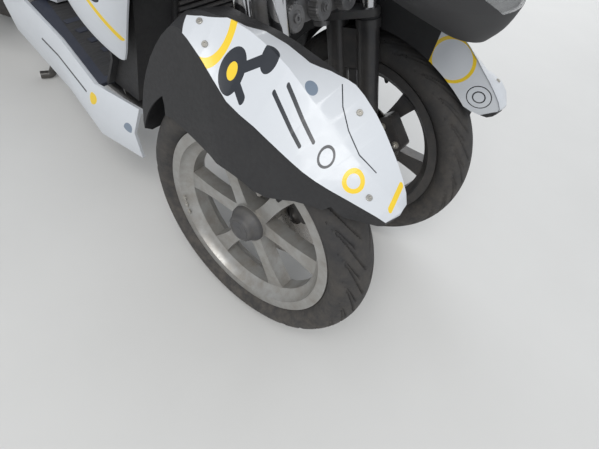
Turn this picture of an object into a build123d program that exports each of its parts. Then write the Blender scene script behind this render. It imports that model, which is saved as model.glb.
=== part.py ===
"""Leaning three-wheeled motor scooter on its centre stand, in millimetres.

X points forward, Y to the rider's left and Z up. The origin is on the ground, under the middle.
"""
from build123d import *
import os
from math import cos, radians, sin

os.makedirs("parts", exist_ok=True)

# Wheels
wheelbase = 1310.0
front_track = 385.0
front_tyre_radius = 250.0
front_tyre_width = 90.0
front_rim_radius = 192.0
front_rim_half_width = 33.0
rear_tyre_radius = 251.5
rear_tyre_width = 110.0
rear_rim_radius = 166.0
rear_rim_half_width = 41.0
rear_wheel_lift = 12.0
tail_reach = 345.0
spoke_pairs = 3
axle_radius = 10.0
front_disc_radius = 110.0
rear_disc_radius = 105.0
disc_thickness = 4.0
hub_radius = 38.0
inner_hub_radius = 27.0

# Steering geometry: the steering axis leans back by the rake and meets the ground ahead of the tyre
rake = 20.0
trail = 68.0
kingpin_y = 72.0
leg_y = 120.0
leg_spacing = 71.0

# Clearances and walls
running_gap = 0.05
seat_gap = 0.3
wall = 4.0

# Seat
seat_base = 736.0
cover_top = seat_base - 1
tail_joint = -1466.0

# Fork and leaning linkage, with levels measured along the steering axis from the ground
slider_top = 539.0
slider_radius = 21.0
stanchion_radius = 15.0
bracket_thickness = 13.0
bracket_gap = 4.5
kingpin_radius = 20.0
spigot_radius = 12.0
lower_arm_level = 583.0
arm_rise = 165.0
arm_pin_radius = 9.0
arm_gap = 24.0
arm_thickness = 20.0
arm_eye_radius = 18.0
pin_reach = 64.0
pin_cap_radius = 20.0
steer_arm = 58.0
tie_pin_radius = 5.0
tie_rod_height = 12.0
column_radius = 17.0
column_high = 1025.0
head_tube_high = 955.0

overall_length = front_tyre_radius + wheelbase + tail_reach
front_axle_x = overall_length / 2 - front_tyre_radius
rear_axle_x = front_axle_x - wheelbase
front_axle_z = front_tyre_radius
rear_axle_z = rear_tyre_radius + rear_wheel_lift
wheel_y = front_track / 2
rake_sin = sin(radians(rake))
rake_cos = cos(radians(rake))
axle_level = trail * rake_sin + front_axle_z * rake_cos
axle_ahead = front_axle_z * rake_sin - trail * rake_cos
lower_bracket = slider_top + bracket_gap
kingpin_low = lower_bracket + bracket_thickness + seat_gap
upper_arm_level = lower_arm_level + arm_rise
kingpin_high = upper_arm_level + arm_eye_radius + 9
upper_bracket = kingpin_high + seat_gap
tie_rod_level = upper_bracket + bracket_thickness + seat_gap
head_tube_low = tie_rod_level + tie_rod_height + 10
SIDES = (("left", 1), ("right", -1))


def save(name, builder):
    """Labels a finished piece and writes its file."""
    builder.part.label = name
    export_step(builder.part, f"parts/{name}.step")


def ahead(distance):
    """X of a place that lies this far ahead of the front axle."""
    return front_axle_x + distance


def steering_plane(y, level=0.0):
    """Plane square to the steering axis: x forward and up, z along the axis."""
    plane = Plane(origin=(ahead(trail), y, 0), x_dir=(rake_cos, 0, rake_sin),
                  z_dir=(-rake_sin, 0, rake_cos))
    return plane.offset(level)


def linkage_plane(distance):
    """Plane that holds the steering axis, this far ahead of it: x to the left, y along the axis."""
    plane = Plane(origin=(ahead(trail), 0, 0), x_dir=(0, 1, 0), z_dir=(rake_cos, 0, rake_sin))
    return plane.offset(distance)


def side_plane(y):
    """Upright lengthwise plane: x forward, y up, extruded towards the right."""
    return Plane(origin=(0, y, 0), x_dir=(1, 0, 0), z_dir=(0, -1, 0))


def cross_plane(x):
    """Upright crosswise plane: x to the left, y up, extruded forwards."""
    return Plane(origin=(x, 0, 0), x_dir=(0, 1, 0), z_dir=(1, 0, 0))


def level_plane(z):
    """Flat plane: x forward, y to the left, extruded upwards."""
    return Plane.XY.offset(z)


def bar(plane, x, y, radius, length, mode=Mode.ADD):
    """Adds or cuts a round bar that stands on a plane."""
    with BuildSketch(plane) as face:
        with Locations((x, y)):
            Circle(radius)
    extrude(face.sketch, amount=length, mode=mode)


def bar_y(x, z, radius, y0, y1, mode=Mode.ADD):
    """Adds or cuts a round bar that runs sideways."""
    bar(side_plane(max(y0, y1)), x, z, radius, abs(y1 - y0), mode)


def slab(plane, points, length, mode=Mode.ADD, corner=0.0):
    """Adds or cuts a flat piece with a straight-sided outline."""
    with BuildSketch(plane) as face:
        Polygon(*points, align=None)
        if corner:
            fillet(face.vertices(), corner)
    extrude(face.sketch, amount=length, mode=mode)


def slab_y(points, y0, y1, mode=Mode.ADD, corner=0.0):
    """Adds or cuts a flat piece with a side outline, from one sideways place to another."""
    slab(side_plane(max(y0, y1)), points, abs(y1 - y0), mode, corner)


def hull_plate(plane, circles, length, mode=Mode.ADD):
    """Adds a plate whose outline is stretched round circles given as x, y, radius."""
    with BuildSketch(plane) as face:
        for x, y, radius in circles:
            with Locations((x, y)):
                Circle(radius)
        make_hull()
    extrude(face.sketch, amount=length, mode=mode)


def tube(points, radius, bend, mode=Mode.ADD):
    """Adds a round tube along straight runs joined by arcs."""
    with BuildLine() as path:
        FilletPolyline(*points, radius=bend)
    with BuildSketch(Plane(origin=path.line @ 0, z_dir=path.line % 0)) as face:
        Circle(radius)
    sweep(face.sketch, path=path.line, mode=mode)


def lofted(planes_and_outlines, ruled=False, mode=Mode.ADD):
    """Adds a form through closed straight-sided sections."""
    faces = []
    for plane, points in planes_and_outlines:
        with BuildSketch(plane) as face:
            Polygon(*points, align=None)
        faces.append(face.sketch)
    loft(faces, ruled=ruled, mode=mode)


def smoothed(rows, steps):
    """Returns table rows with smooth in-between rows, each column led along a curve."""
    filled = []
    for place in range(len(rows) - 1):
        before = rows[max(place - 1, 0)]
        first, second = rows[place], rows[place + 1]
        after = rows[min(place + 2, len(rows) - 1)]
        for step in range(steps):
            t = step / steps
            filled.append(tuple(
                0.5 * (2 * b + (c - a) * t + (2 * a - 5 * b + 4 * c - d) * t * t
                       + (3 * b - a - 3 * c + d) * t ** 3)
                for a, b, c, d in zip(before, first, second, after)))
    filled.append(tuple(rows[-1]))
    return filled


def stretched(rows, reach):
    """Returns table rows led on in a straight line past both ends, by a reach in the first column."""
    if not reach:
        return list(rows)
    ends = []
    for end, near in ((rows[0], rows[1]), (rows[-1], rows[-2])):
        share = reach / abs(end[0] - near[0])
        ends.append(tuple(e + (e - n) * share for e, n in zip(end, near)))
    return [ends[0]] + list(rows) + [ends[1]]


# Front wheels: hollow tyre, cast rim with spokes in pairs, brake disc and hub cap
def tyre(x, y, z, radius, half_width, bead_radius, bead_half_width):
    """Adds a hollow tyre, turned from half of its section and mirrored."""
    shoulder = radius - 14
    middle = (radius + bead_radius) / 2 + 2
    liner = 8.0
    tread = half_width * 0.8
    plane = Plane(origin=(x, y, z), x_dir=(0, 1, 0), z_dir=(1, 0, 0))
    inner_bead = bead_half_width - liner
    with BuildSketch(plane) as section:
        with BuildLine():
            ThreePointArc((-tread, shoulder), (0, radius), (tread, shoulder))
            ThreePointArc((liner - tread, shoulder - liner), (0, radius - liner - 3),
                          (tread - liner, shoulder - liner))
            for hand in (-1, 1):
                ThreePointArc((hand * tread, shoulder), (hand * half_width, middle),
                              (hand * (bead_half_width + 3), bead_radius + 14.5))
                Polyline((hand * (bead_half_width + 3), bead_radius + 14.5),
                         (hand * bead_half_width, bead_radius + 13.2), (hand * bead_half_width, bead_radius),
                         (hand * inner_bead, bead_radius), (hand * inner_bead, bead_radius + 16))
                ThreePointArc((hand * inner_bead, bead_radius + 16), (hand * (half_width - liner), middle + 2),
                              (hand * (tread - liner), shoulder - liner))
        make_face()
    revolve(section.sketch, axis=Axis((x, y, z), (0, 1, 0)))


def barrel(x, y, z, flange, half_width, depth):
    """Adds a rim barrel: two flanges, bead seats and a dropped well."""
    seat = flange - 13
    well = flange - depth + 7
    plane = Plane(origin=(x, y, z), x_dir=(0, 1, 0), z_dir=(1, 0, 0))
    half = [(half_width, flange), (half_width - 3, flange), (half_width - 3.5, seat),
            (half_width * 0.5, seat - 1), (half_width * 0.25, well)]
    under = [(half_width * 0.4, flange - depth), (half_width - 10, flange - 24),
             (half_width, flange - 19)]
    outline = half + [(-a, b) for a, b in half[::-1]]
    outline += [(-a, b) for a, b in under[::-1]] + under
    with BuildSketch(plane) as section:
        Polygon(*outline, align=None)
    revolve(section.sketch, axis=Axis((x, y, z), (0, 1, 0)))


def spokes(x, y_out, y_in, z, root_radius, tip_radius, first_angle, root_half, waist_half, tip_half):
    """Adds cast spokes that leave the hub in pairs and spread evenly round the rim."""
    root_spread = 19.0
    tip_spread = 90.0 / spoke_pairs
    for pair in range(spoke_pairs):
        for lean in (-1, 1):
            middle = first_angle + pair * 360.0 / spoke_pairs
            root_angle = radians(middle + lean * root_spread)
            tip_angle = radians(middle + lean * tip_spread)
            root = Vector(x + root_radius * cos(root_angle), z + root_radius * sin(root_angle))
            tip = Vector(x + tip_radius * cos(tip_angle), z + tip_radius * sin(tip_angle))
            along = (tip - root).normalized()
            aside = Vector(-along.Y, along.X)
            waist = root + (tip - root) * 0.45
            with BuildSketch(side_plane(max(y_out, y_in))) as face:
                with BuildLine() as outline:
                    ThreePointArc(root + aside * root_half, waist + aside * waist_half,
                                  tip + aside * tip_half)
                    Line(tip + aside * tip_half, tip - aside * tip_half)
                    ThreePointArc(tip - aside * tip_half, waist - aside * waist_half,
                                  root - aside * root_half)
                    Line(root - aside * root_half, root + aside * root_half)
                make_face()
            extrude(face.sketch, amount=abs(y_out - y_in))


def brake_disc(x, z, y_low, radius, first_angle):
    """Adds a brake disc with a ring of vent holes."""
    bar_y(x, z, radius, y_low, y_low + disc_thickness)
    bar_y(x, z, inner_hub_radius - 5, y_low, y_low + disc_thickness, Mode.SUBTRACT)
    for step in range(6):
        angle = radians(first_angle + step * 60)
        bar_y(x + radius * 0.52 * cos(angle), z + radius * 0.52 * sin(angle), radius * 0.17,
              y_low, y_low + disc_thickness, Mode.SUBTRACT)


spoke_outer_step = 13.0
spoke_inner_step = 15.0
hub_half_length = 18.0
cap_step = 44.0
disc_inset = 46.0
front_disc_y = wheel_y - disc_inset

for name, side in SIDES:
    y = side * wheel_y
    with BuildPart() as front_tyre:
        tyre(front_axle_x, y, front_axle_z, front_tyre_radius, front_tyre_width / 2,
             front_rim_radius - 13 + seat_gap, front_rim_half_width - 3.5)
    save(f"tyre_front_{name}", front_tyre)

    with BuildPart() as front_rim:
        barrel(front_axle_x, y, front_axle_z, front_rim_radius, front_rim_half_width, 37)
        spokes(front_axle_x, side * (wheel_y + spoke_outer_step), side * (wheel_y - spoke_inner_step),
               front_axle_z, 30, front_rim_radius - 34, 34, 16, 13, 21)
        bar_y(front_axle_x, front_axle_z, hub_radius, side * (wheel_y + hub_half_length),
              side * (wheel_y - hub_half_length))
        bar_y(front_axle_x, front_axle_z, inner_hub_radius, side * wheel_y,
              side * (front_disc_y + disc_thickness / 2))
        bar_y(front_axle_x, front_axle_z, axle_radius + running_gap, side * (wheel_y + hub_half_length),
              side * front_disc_y, Mode.SUBTRACT)
    save(f"rim_front_{name}", front_rim)

    with BuildPart() as front_disc:
        brake_disc(front_axle_x, front_axle_z, side * front_disc_y - disc_thickness / 2,
                   front_disc_radius, 20)
    save(f"disc_front_{name}", front_disc)

    # Each pair: distance out from the wheel's middle, radius
    cap_profile = ((hub_half_length, 0), (hub_half_length, hub_radius - 1), (hub_half_length + 6, hub_radius - 2),
                   (cap_step - 10, hub_radius - 9), (cap_step - 2.5, hub_radius - 12), (cap_step, hub_radius - 15),
                   (cap_step, 0))
    with BuildPart() as hub_cap:
        with BuildSketch(Plane(origin=(front_axle_x, y, front_axle_z), x_dir=(0, side, 0),
                               z_dir=(side, 0, 0))) as half_section:
            Polygon(*cap_profile, align=None)
        revolve(half_section.sketch, axis=Axis((front_axle_x, y, front_axle_z), (0, 1, 0)))
        bar_y(front_axle_x, front_axle_z, axle_radius + 2, side * (wheel_y + hub_half_length),
              side * (wheel_y + 30), Mode.SUBTRACT)
    save(f"hub_cap_{name}", hub_cap)


# Front forks: each carries its wheel on two tandem legs inside the wheel
leg_step = leg_y - kingpin_y
carrier_half = 17.0
axle_length_out = 28.0
mudguard_stay_y = 146.7
for name, side in SIDES:
    pivot = steering_plane(side * kingpin_y)
    leg = side * leg_step
    rear_leg = 0.0
    front_leg = leg_spacing
    leg_side = Plane(origin=(ahead(trail), side * leg_y, 0), x_dir=(rake_cos, 0, rake_sin),
                     z_dir=(0, -1, 0))
    with BuildPart() as fork:
        for place in (rear_leg, front_leg):
            bar(pivot.offset(axle_level - 28), place, leg, slider_radius, slider_top - axle_level + 28)
            bar(pivot.offset(slider_top - 16), place, leg, slider_radius + 2.5, 16)
        # The bridge that ties the two sliders, and the carrier that holds the axle between them
        slab(leg_side.offset(-9), [(0, slider_top - 95), (leg_spacing, slider_top - 95),
                                   (leg_spacing, slider_top - 20), (0, slider_top - 20)], 18)
        slab(leg_side.offset(-carrier_half), [(-14, axle_level - 22), (leg_spacing + 14, axle_level - 22),
                                              (leg_spacing + 12, axle_level + 30), (-12, axle_level + 30)],
             2 * carrier_half, corner=8)
        bar_y(front_axle_x, front_axle_z, axle_radius + 6, side * (leg_y - carrier_half - 4),
              side * (front_disc_y - disc_thickness / 2 - 1))
        bar_y(front_axle_x, front_axle_z, axle_radius, side * leg_y, side * (wheel_y + axle_length_out))
        # Brake caliper straddling the disc, on a lug of the front slider
        with BuildSketch(side_plane(side * front_disc_y + 17)) as caliper:
            with Locations((ahead(70), front_axle_z + 76)):
                Rectangle(78, 44, rotation=-43)
            fillet(caliper.vertices(), 9)
        extrude(caliper.sketch, amount=34)
        bar_y(front_axle_x, front_axle_z, front_disc_radius + 3, side * front_disc_y - 4,
              side * front_disc_y + 4, Mode.SUBTRACT)
        slab_y([(ahead(20), 292), (ahead(62), 336), (ahead(84), 322), (ahead(62), 296)], side * 112, side * 134)
        for place in (rear_leg, front_leg):
            boss = steering_plane(side * leg_y, slider_top - 30)
            bar_y(boss.origin.X + place * rake_cos, boss.origin.Z + place * rake_sin, 9, side * leg_y,
                  side * mudguard_stay_y)
        # Plates bored for the kingpin and the stanchions
        for level in (lower_bracket, upper_bracket):
            plate = [(0, 0, 24), (rear_leg, leg, 22), (front_leg, leg, 22)]
            if level == upper_bracket:
                plate.append((-steer_arm, 0, 12))
            hull_plate(pivot.offset(level), plate, bracket_thickness)
            bar(pivot.offset(level), 0, 0, spigot_radius + running_gap, bracket_thickness, Mode.SUBTRACT)
            for place in (rear_leg, front_leg):
                bar(pivot.offset(level), place, leg, stanchion_radius + running_gap, bracket_thickness,
                    Mode.SUBTRACT)
        bar(pivot.offset(upper_bracket), -steer_arm, 0, tie_pin_radius + running_gap, bracket_thickness,
            Mode.SUBTRACT)
        bar_y(front_axle_x, front_axle_z, axle_radius, side * leg_y, side * (wheel_y + axle_length_out))
    save(f"fork_{name}", fork)

    with BuildPart() as stanchions:
        for place in (rear_leg, front_leg):
            bar(pivot.offset(slider_top), place, leg, stanchion_radius,
                upper_bracket + bracket_thickness - slider_top)
    save(f"stanchions_{name}", stanchions)


# Front mudguards: a black shell that follows the wheel, with a white panel over its top and nose
# Each row: angle round the axle, then sideways place and distance from the axle of the inner edge,
# the crease and the outer shoulder
mudguard_rows = smoothed((
    (41.5, 181, 303, 192, 308, 206, 301),
    (44, 174, 321, 192, 325, 216, 316),
    (50, 166, 325, 198, 319, 236, 309),
    (58, 158, 327, 202, 310, 246, 282),
    (66, 153, 333, 205, 306, 250, 264),
    (76, 149, 337, 205, 314, 251, 257),
    (86, 148, 334, 206, 334, 252, 260),
    (97, 147, 338, 206, 351, 252, 270),
    (106, 147, 343, 208, 361, 250, 318),
    (113, 147, 355, 212, 367, 246, 352),
    (118, 148, 354, 213, 362, 244, 350),
    (126, 150, 333, 211, 340, 242, 332),
    (138, 154, 308, 207, 314, 240, 306),
    (152, 158, 282, 204, 288, 239, 280),
    (168, 162, 260, 204, 265, 236, 258),
), 2)
mudguard_foot = 150.0
skirt_flare = 4.0
tyre_gap = 12.0
panel_thickness = 3.0


def turned_plane(angle):
    """Plane through the front axle, turned up from straight ahead: x outward, y to the left."""
    turn = radians(angle)
    return Plane(origin=(front_axle_x, 0, front_axle_z), x_dir=(cos(turn), 0, sin(turn)),
                 z_dir=(-sin(turn), 0, cos(turn)))


def mudguard_line(row, grow, foot):
    """Returns the section's line over the wheel, grown all round, from inner foot to outer foot."""
    angle, inner_y, inner_r, crease_y, crease_r, shoulder_y, shoulder_r = row
    line = [(inner_r + grow, inner_y - grow), (crease_r + grow, crease_y),
            (shoulder_r + grow, shoulder_y + grow)]
    if foot:
        line = [(mudguard_foot, inner_y - grow)] + line + [(mudguard_foot, shoulder_y + skirt_flare + grow)]
    return line


def mudguard_skin(side, outer, inner, foot):
    """Adds a skin between two growths of the mudguard's line."""
    lofted([(turned_plane(row[0]), [(r, side * y) for r, y in
                                    mudguard_line(row, outer, foot) + mudguard_line(row, inner, foot)[::-1]])
            for row in mudguard_rows], ruled=True)


skirt_outline = [(-340, 200), (-262, 288), (-190, 394), (-160, 402), (-8, 388), (60, 403),
                 (105, 430), (135, 441), (190, 444), (420, 440), (420, 100), (-340, 100)]
lip_outline = [(190, 444), (420, 440), (420, 100), (190, 100)]
seam_outline = [(-152, 592), (-120, 570), (-70, 534), (-30, 514), (20, 501), (65, 497), (121, 487),
                (165, 486), (198, 477), (222, 471), (330, 472), (330, 720), (-152, 720)]
# Seen from above: the panel's inner edge, set back round the black hump over the fork
hump_outline = [(150, 100), (120, 140), (81, 150), (58, 157), (31, 171), (-4, 173), (-40, 180), (-58, 200),
                (-85, 207), (-120, 219), (-180, 243), (-180, 100)]

for name, side in SIDES:
    with BuildPart() as skirt:
        mudguard_skin(side, 0, -wall, True)
        # The front wall that closes the skin ahead of the tyre
        lofted([(turned_plane(row[0]), [(r, side * y) for r, y in mudguard_line(row, 0, True)])
                for row in mudguard_rows[:2]], ruled=True)
        bar_y(front_axle_x, front_axle_z, front_tyre_radius + tyre_gap, 0, side * (wheel_y + 49),
              Mode.SUBTRACT)
        slab_y([(ahead(x), z) for x, z in skirt_outline], side * (wheel_y + 10), side * 300, Mode.SUBTRACT)
        slab_y([(ahead(x), z) for x, z in lip_outline], side * 100, side * 300, Mode.SUBTRACT)
    save(f"mudguard_{name}", skirt)

    with BuildPart() as panel:
        mudguard_skin(side, panel_thickness, seat_gap, False)
        slab_y([(ahead(x), z) for x, z in seam_outline], side * 100, side * 300, Mode.INTERSECT)
        slab(level_plane(400), [(ahead(x), side * y) for x, y in hump_outline], 300, Mode.SUBTRACT)
    save(f"mudguard_panel_{name}", panel)


# Leaning linkage: two crosswise arms on pins through the headstock and through both kingpins
with BuildPart() as linkage:
    for level in (lower_arm_level, upper_arm_level):
        for start in (arm_gap, -arm_gap - arm_thickness):
            hull_plate(linkage_plane(start), [(-kingpin_y, level, arm_eye_radius), (0, level, arm_eye_radius),
                                              (kingpin_y, level, arm_eye_radius)], arm_thickness)
        for place in (-kingpin_y, 0, kingpin_y):
            bar(linkage_plane(-arm_gap - arm_thickness - 6), place, level, arm_pin_radius,
                2 * arm_gap + 2 * arm_thickness + 8)
            bar(linkage_plane(arm_gap + arm_thickness), place, level, pin_cap_radius,
                pin_reach - arm_gap - arm_thickness)
    for name, side in SIDES:
        pivot = steering_plane(side * kingpin_y)
        bar(pivot.offset(kingpin_low), 0, 0, kingpin_radius, kingpin_high - kingpin_low)
        bar(pivot.offset(lower_bracket - 3), 0, 0, spigot_radius,
            upper_bracket + bracket_thickness + 3 - lower_bracket + 3)
        for nut in (lower_bracket - 11, upper_bracket + bracket_thickness + 2):
            bar(pivot.offset(nut), 0, 0, spigot_radius + 3, 9)
        for level in (lower_arm_level, upper_arm_level):
            bar(linkage_plane(-arm_gap), side * kingpin_y, level, arm_pin_radius + running_gap, 2 * arm_gap,
                Mode.SUBTRACT)
save("lean_linkage", linkage)

# Handlebar on its column, with the pitman arm that moves the tie rod
grip_length = 118.0
grip_radius = 16.5
bar_radius = 11.0
grip_start = 205.0


def handlebar_form(grow):
    """Adds the column and the bent bar, grown all round."""
    centre = steering_plane(0)
    bar(centre.offset(upper_bracket), 0, 0, column_radius + grow, column_high - upper_bracket + grow)
    top = centre.offset(column_high - 10).origin
    for name, side in SIDES:
        tube([(top.X, 0, top.Z), (top.X + 4, side * 40, top.Z + 8), (top.X, side * 120, top.Z + 40),
              (top.X - 24, side * grip_start, top.Z + 42),
              (top.X - 62, side * (grip_start + grip_length + 8), top.Z + 36)], bar_radius + grow, 30)


with BuildPart() as column:
    handlebar_form(0)
    centre = steering_plane(0)
    hull_plate(centre.offset(upper_bracket), [(0, 0, 24), (-steer_arm, 0, 12)], bracket_thickness)
    bar(centre.offset(upper_bracket), -steer_arm, 0, tie_pin_radius + running_gap, bracket_thickness,
        Mode.SUBTRACT)
save("handlebar", column)

with BuildPart() as tie_rod:
    for place in (-kingpin_y, 0, kingpin_y):
        bar(steering_plane(0, tie_rod_level), -steer_arm, place, tie_pin_radius + 7, tie_rod_height)
        bar(steering_plane(0, upper_bracket), -steer_arm, place, tie_pin_radius,
            tie_rod_level - upper_bracket + 1)
    slab(steering_plane(0, tie_rod_level + 1), [(-steer_arm - 5, -kingpin_y), (-steer_arm + 5, -kingpin_y),
                                                (-steer_arm + 5, kingpin_y), (-steer_arm - 5, kingpin_y)],
         tie_rod_height - 2)
save("tie_rod", tie_rod)

# Front body: D-shaped level sections, drawn as a shell open at the back
# Each row: height, nose, widest place, back (all ahead of the front axle) and half width
nose_rows = smoothed((
    (640, 188, 140, 90, 40),
    (660, 200, 125, 40, 72),
    (680, 205, 110, 10, 104),
    (700, 206, 60, -60, 146),
    (735, 204, -20, -160, 182),
    (780, 190, -90, -235, 190),
    (860, 118, -130, -262, 190),
    (935, 20, -190, -290, 168),
), 3)
cowl_split = 796.0
lamp_low = 690.0
lamp_half_width = 112.0


def nose_form(shrink, opening=0.0):
    """Returns the front body's solid form, shrunk by a wall and reaching out where the shell is open."""
    with BuildPart() as form:
        faces = []
        for z, nose, side_x, back, half in stretched(nose_rows, opening):
            with BuildSketch(level_plane(z)) as face:
                with BuildLine():
                    ThreePointArc((ahead(side_x), -half + shrink), (ahead(nose - shrink), 0),
                                  (ahead(side_x), half - shrink))
                    Polyline((ahead(side_x), half - shrink), (ahead(back - opening), half - 6 - shrink),
                             (ahead(back - opening), -half + 6 + shrink), (ahead(side_x), -half + shrink))
                make_face()
            faces.append(face.sketch)
        loft(faces, ruled=True)
    return form.part


nose_outer = nose_form(0)
nose_hollow = nose_form(wall, 12)
lamp_outline = [(-lamp_half_width, lamp_low + 34), (-40, lamp_low), (40, lamp_low),
                (lamp_half_width, lamp_low + 34), (lamp_half_width - 14, cowl_split - 12),
                (lamp_half_width - 14 - 8, cowl_split - 4), (-lamp_half_width + 22, cowl_split - 4),
                (-lamp_half_width + 14, cowl_split - 12)]
body_front = ahead(320)
body_back = ahead(-420)
with BuildPart() as nose_cowl:
    add(nose_outer)
    add(nose_hollow, mode=Mode.SUBTRACT)
    slab(cross_plane(ahead(-40)), lamp_outline, 400, Mode.SUBTRACT)
    slab_y([(body_back, 500), (body_front, 500), (body_front, cowl_split), (body_back, cowl_split)],
           -300, 300, Mode.INTERSECT)
    slab_y([(ahead(-5), 500), (ahead(-5), 655), (ahead(-110), 742), (body_back, 742), (body_back, 500)],
           -300, 300, Mode.SUBTRACT)
save("nose_cowl", nose_cowl)

with BuildPart() as front_panel:
    add(nose_outer)
    add(nose_hollow, mode=Mode.SUBTRACT)
    slab_y([(body_back, cowl_split + seat_gap), (body_front, cowl_split + seat_gap), (body_front, 1000),
            (body_back, 1000)], -300, 300, Mode.INTERSECT)
save("front_panel", front_panel)

lamp_outer = nose_form(seat_gap)
lamp_inner = nose_form(wall + 1, 12)
with BuildPart() as headlamp:
    add(lamp_outer)
    add(lamp_inner, mode=Mode.SUBTRACT)
    with BuildSketch(cross_plane(ahead(-40))) as lens:
        Polygon(*lamp_outline, align=None)
        offset(amount=-seat_gap, kind=Kind.INTERSECTION)
    extrude(lens.sketch, amount=400, mode=Mode.INTERSECT)
save("headlamp", headlamp)

# Windscreen: a curved sheet that stands on the front panel
# Each row: height, middle of its front, how far its edges fall back, half width
screen_return = 2.0
screen_rows = smoothed(((935, 20, 92, 152), (1010, -10, 70, 158), (1120, -78, 52, 140), (1205, -122, 34, 96)), 4)

def screen_form(shrink, opening=0.0):
    """Returns the form whose front is the screen, shrunk by a wall and reaching out behind and above."""
    with BuildPart() as form:
        faces = []
        for z, front, fall, half in stretched(screen_rows, opening):
            with BuildSketch(level_plane(z)) as face:
                with BuildLine():
                    ThreePointArc((ahead(front - fall), -half + shrink), (ahead(front - shrink), 0),
                                  (ahead(front - fall), half - shrink))
                    Polyline((ahead(front - fall), half - shrink), (ahead(front - fall - screen_return - opening), half - shrink),
                             (ahead(front - fall - screen_return - opening), shrink - half), (ahead(front - fall), shrink - half))
                make_face()
            faces.append(face.sketch)
        loft(faces, ruled=True)
    return form.part


screen_outer = screen_form(0)
screen_hollow = screen_form(wall, 12)
with BuildPart() as windscreen:
    add(screen_outer)
    add(screen_hollow, mode=Mode.SUBTRACT)
save("windscreen", windscreen)

# Leg shield: rider-side wall with a toe ramp, and white wings at both sides
shield_back = [(-428, 302), (-398, 372), (-396, 640), (-358, 880), (-346, 940)]
shield_half = 196.0
# Each row: height, front edge x and y, middle y, rear edge x and y
wing_rows = (
    (402, -342, 202, 206, -356, 206),
    (470, -322, 204, 236, -436, 232),
    (560, -296, 206, 250, -462, 240),
    (700, -240, 206, 246, -462, 228),
    (860, -190, 204, 230, -418, 216),
    (950, -160, 192, 216, -370, 206),
)


def wing_inside(side):
    """Adds the form that fills one wing from the middle of the vehicle, clear of its inner face."""
    faces = []
    for z, front_x, front_y, middle_y, rear_x, rear_y in wing_rows:
        step = wall + seat_gap
        middle_x = (front_x + rear_x) / 2
        with BuildSketch(level_plane(z)) as face:
            with BuildLine():
                ThreePointArc((ahead(front_x), side * (front_y - step)), (ahead(middle_x), side * (middle_y - step)),
                              (ahead(rear_x), side * (rear_y - step)))
                Polyline((ahead(rear_x), side * (rear_y - step)), (ahead(rear_x), 0), (ahead(front_x), 0),
                         (ahead(front_x), side * (front_y - step)))
            make_face()
        faces.append(face.sketch)
    loft(faces)


with BuildPart() as shield_reach:
    wing_inside(1)
    wing_inside(-1)
    slab(level_plane(shield_back[0][1]), [(ahead(-300), shield_half), (ahead(-300), -shield_half),
                                          (ahead(-500), -shield_half), (ahead(-500), shield_half)], 700)

with BuildPart() as leg_shield:
    outline = [(ahead(x), z) for x, z in shield_back]
    outline += [(ahead(x + 7), z + 2) for x, z in shield_back[::-1]]
    slab_y(outline, -300, 300)
    add(shield_reach.part, mode=Mode.INTERSECT)
    # The lower cover behind the front wheels, joined to the wall by its two cheeks
    slab_y([(ahead(-345), 300), (ahead(-334), 420), (ahead(-326), 588), (ahead(-332), 588), (ahead(-340), 420),
            (ahead(-351), 300)], -shield_half + 16, shield_half - 16)
    for name, side in SIDES:
        slab_y([(ahead(-422), 302), (ahead(-345), 300), (ahead(-334), 420), (ahead(-326), 588), (ahead(-392), 640),
                (ahead(-394), 372)], side * (shield_half - 22), side * (shield_half - 16))
save("leg_shield", leg_shield)

with BuildPart() as wings:
    for name, side in SIDES:
        faces = []
        for z, front_x, front_y, middle_y, rear_x, rear_y in wing_rows:
            middle_x = (front_x + rear_x) / 2
            with BuildSketch(level_plane(z)) as face:
                with BuildLine():
                    ThreePointArc((ahead(front_x), side * front_y), (ahead(middle_x), side * middle_y),
                                  (ahead(rear_x), side * rear_y))
                    Line((ahead(rear_x), side * rear_y), (ahead(rear_x), side * (rear_y - wall)))
                    ThreePointArc((ahead(rear_x), side * (rear_y - wall)),
                                  (ahead(middle_x), side * (middle_y - wall)),
                                  (ahead(front_x), side * (front_y - wall)))
                    Line((ahead(front_x), side * (front_y - wall)), (ahead(front_x), side * front_y))
                make_face()
            faces.append(face.sketch)
        loft(faces)
save("shield_wings", wings)

# Footboard with a low spine, and white skirts along both sides
# Each row: place ahead of the axle, deck half width
deck_rows = ((-332, 190), (-440, 206), (-620, 168), (-790, 144))
deck_top = 300.0
deck_thickness = 8.0
with BuildPart() as floorboard:
    outline = [(ahead(x), half) for x, half in deck_rows]
    outline += [(ahead(x), -half) for x, half in deck_rows[::-1]]
    slab(level_plane(deck_top - deck_thickness), outline, deck_thickness)
    slab(level_plane(deck_top - deck_thickness), [(ahead(-300), 300), (ahead(-300), -300), (ahead(-434), -300),
                                                  (ahead(-434), 300)], deck_thickness, Mode.SUBTRACT)
    hull_plate(level_plane(deck_top), [(ahead(-480), 0, 34), (ahead(-690), 0, 40)], 26)
    for name, side in SIDES:
        for step in range(5):
            slab(level_plane(deck_top), [(ahead(-478 - step * 46), side * 64),
                                         (ahead(-478 - step * 46), side * 132),
                                         (ahead(-494 - step * 46), side * 132),
                                         (ahead(-494 - step * 46), side * 64)][::side], 3)
save("floorboard", floorboard)

skirt_rows = ((-322, 188), (-440, 206), (-620, 168), (-915, 128))
with BuildPart() as side_skirts:
    for name, side in SIDES:
        sections = []
        for x, half in skirt_rows:
            points = [(half + 0.3, deck_top - 2), (half + 10, deck_top + 2), (half + 27, 250), (half + 14, 172),
                      (half + 8, 172), (half + 21, 249), (half + 6, 288), (half + 0.3, 288)]
            sections.append((cross_plane(ahead(x)), [(side * y, z) for y, z in points]))
        lofted(sections, ruled=True)
save("side_skirts", side_skirts)

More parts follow.
